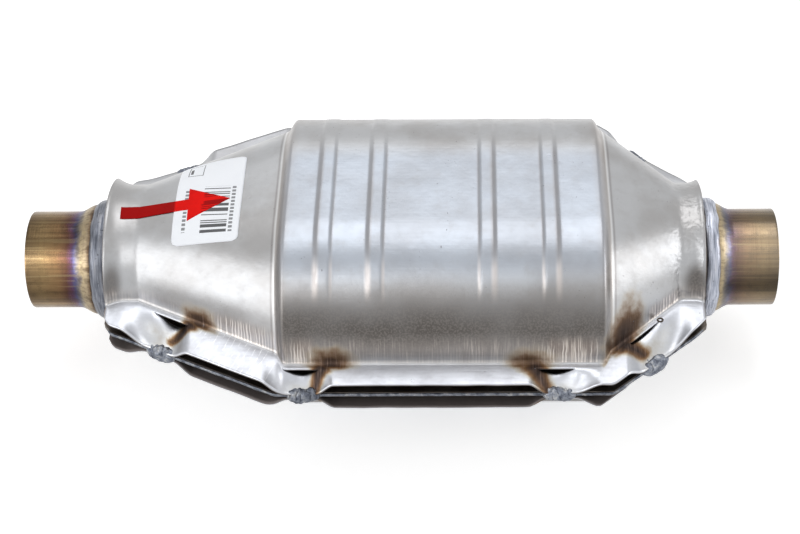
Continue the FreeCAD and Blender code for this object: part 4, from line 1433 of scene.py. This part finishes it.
def pale_floor():
    """A floor that keeps shadows and shows near white to the camera and in reflections."""
    f = Finish("pale_floor")
    n = f.nodes
    f.set(Base_Color=(0.86, 0.86, 0.86, 1), Roughness=1.0, Specular_IOR_Level=0.0)
    glow = n.add("ShaderNodeEmission", {}, {
        "Color": (1, 1, 1, 1), "Strength": shown_directly(n) * FLOOR_GLOW})
    both = n.add("ShaderNodeAddShader", {}, {0: Field(n, f.shader.outputs[0]), 1: glow})
    n.feed(f.material.node_tree.nodes["Material Output"].inputs["Surface"], both)
    floor_z = CAD_BOX[0][2] / MM - FLOOR_GAP
    corners = [(sx * FLOOR_HALF, sy * FLOOR_HALF, floor_z) for sx, sy in SQUARE]
    floor = mesh_object("floor", corners, [(0, 1, 2, 3)], False)
    floor.data.materials.append(f.material)


pale_floor()

world = bpy.data.worlds.new("studio")
bpy.context.scene.world = world
world.use_nodes = True
sky = Nodes(world.node_tree)
background = world.node_tree.nodes["Background"]
background.inputs["Color"].default_value = (1, 1, 1, 1)
sky.feed(background.inputs["Strength"], PLAIN_LIGHT + shown_directly(sky) * (1 - PLAIN_LIGHT))

OBJECT_MIDDLE = Vector((X_OUTLET / 2 * MM, 0, 0))


def area_lamp(name, azimuth, elevation, distance, size, power):
    """Soft lamp aimed at the object; azimuth 0 is in front, 90 at the outlet end."""
    a, e = math.radians(azimuth), math.radians(elevation)
    way = Vector((math.sin(a) * math.cos(e), -math.cos(a) * math.cos(e), math.sin(e)))
    lamp = bpy.data.lights.new(name, "AREA")
    lamp.shape = "RECTANGLE"
    lamp.size, lamp.size_y = size
    lamp.energy = power
    holder = bpy.data.objects.new(name, lamp)
    holder.location = OBJECT_MIDDLE + way * distance
    holder.rotation_euler = (-way).to_track_quat("-Z", "Y").to_euler()
    bpy.context.scene.collection.objects.link(holder)


area_lamp("overhead_softbox", 180, 64, 1.6, (1.15, 1.05), 6.35)
area_lamp("front_strip", -6, 68, 1.6, (1.2, 0.18), 0.4)
area_lamp("inlet_key", -20, 52, 1.6, (0.3, 0.7), 1.6)
area_lamp("inlet_softbox", -60, 26, 1.5, (1.0, 1.15), 6.6)
area_lamp("outlet_softbox", 90, 17, 1.5, (0.7, 0.8), 3.6)

CAMERA_TILT = math.radians(45.836)
CAMERA_DISTANCE = 0.8913
CAMERA_ROLL = math.radians(-0.23)
CAMERA_AIM = Vector((0.216486, 0, 0))
camera_data = bpy.data.cameras.new("camera")
camera_data.lens = 80.3
camera_data.sensor_width = 36.0
camera_data.shift_x = -0.0871
camera_data.shift_y = -0.0116
camera = bpy.data.objects.new("camera", camera_data)
toward = Vector((0, math.cos(CAMERA_TILT), -math.sin(CAMERA_TILT)))
camera.location = CAMERA_AIM - toward * CAMERA_DISTANCE
camera.rotation_mode = "QUATERNION"
camera.rotation_quaternion = toward.to_track_quat("-Z", "Y") @ Quaternion((0, 0, 1), CAMERA_ROLL)
bpy.context.scene.collection.objects.link(camera)
bpy.context.scene.camera = camera
bpy.context.scene.view_settings.view_transform = "Standard"
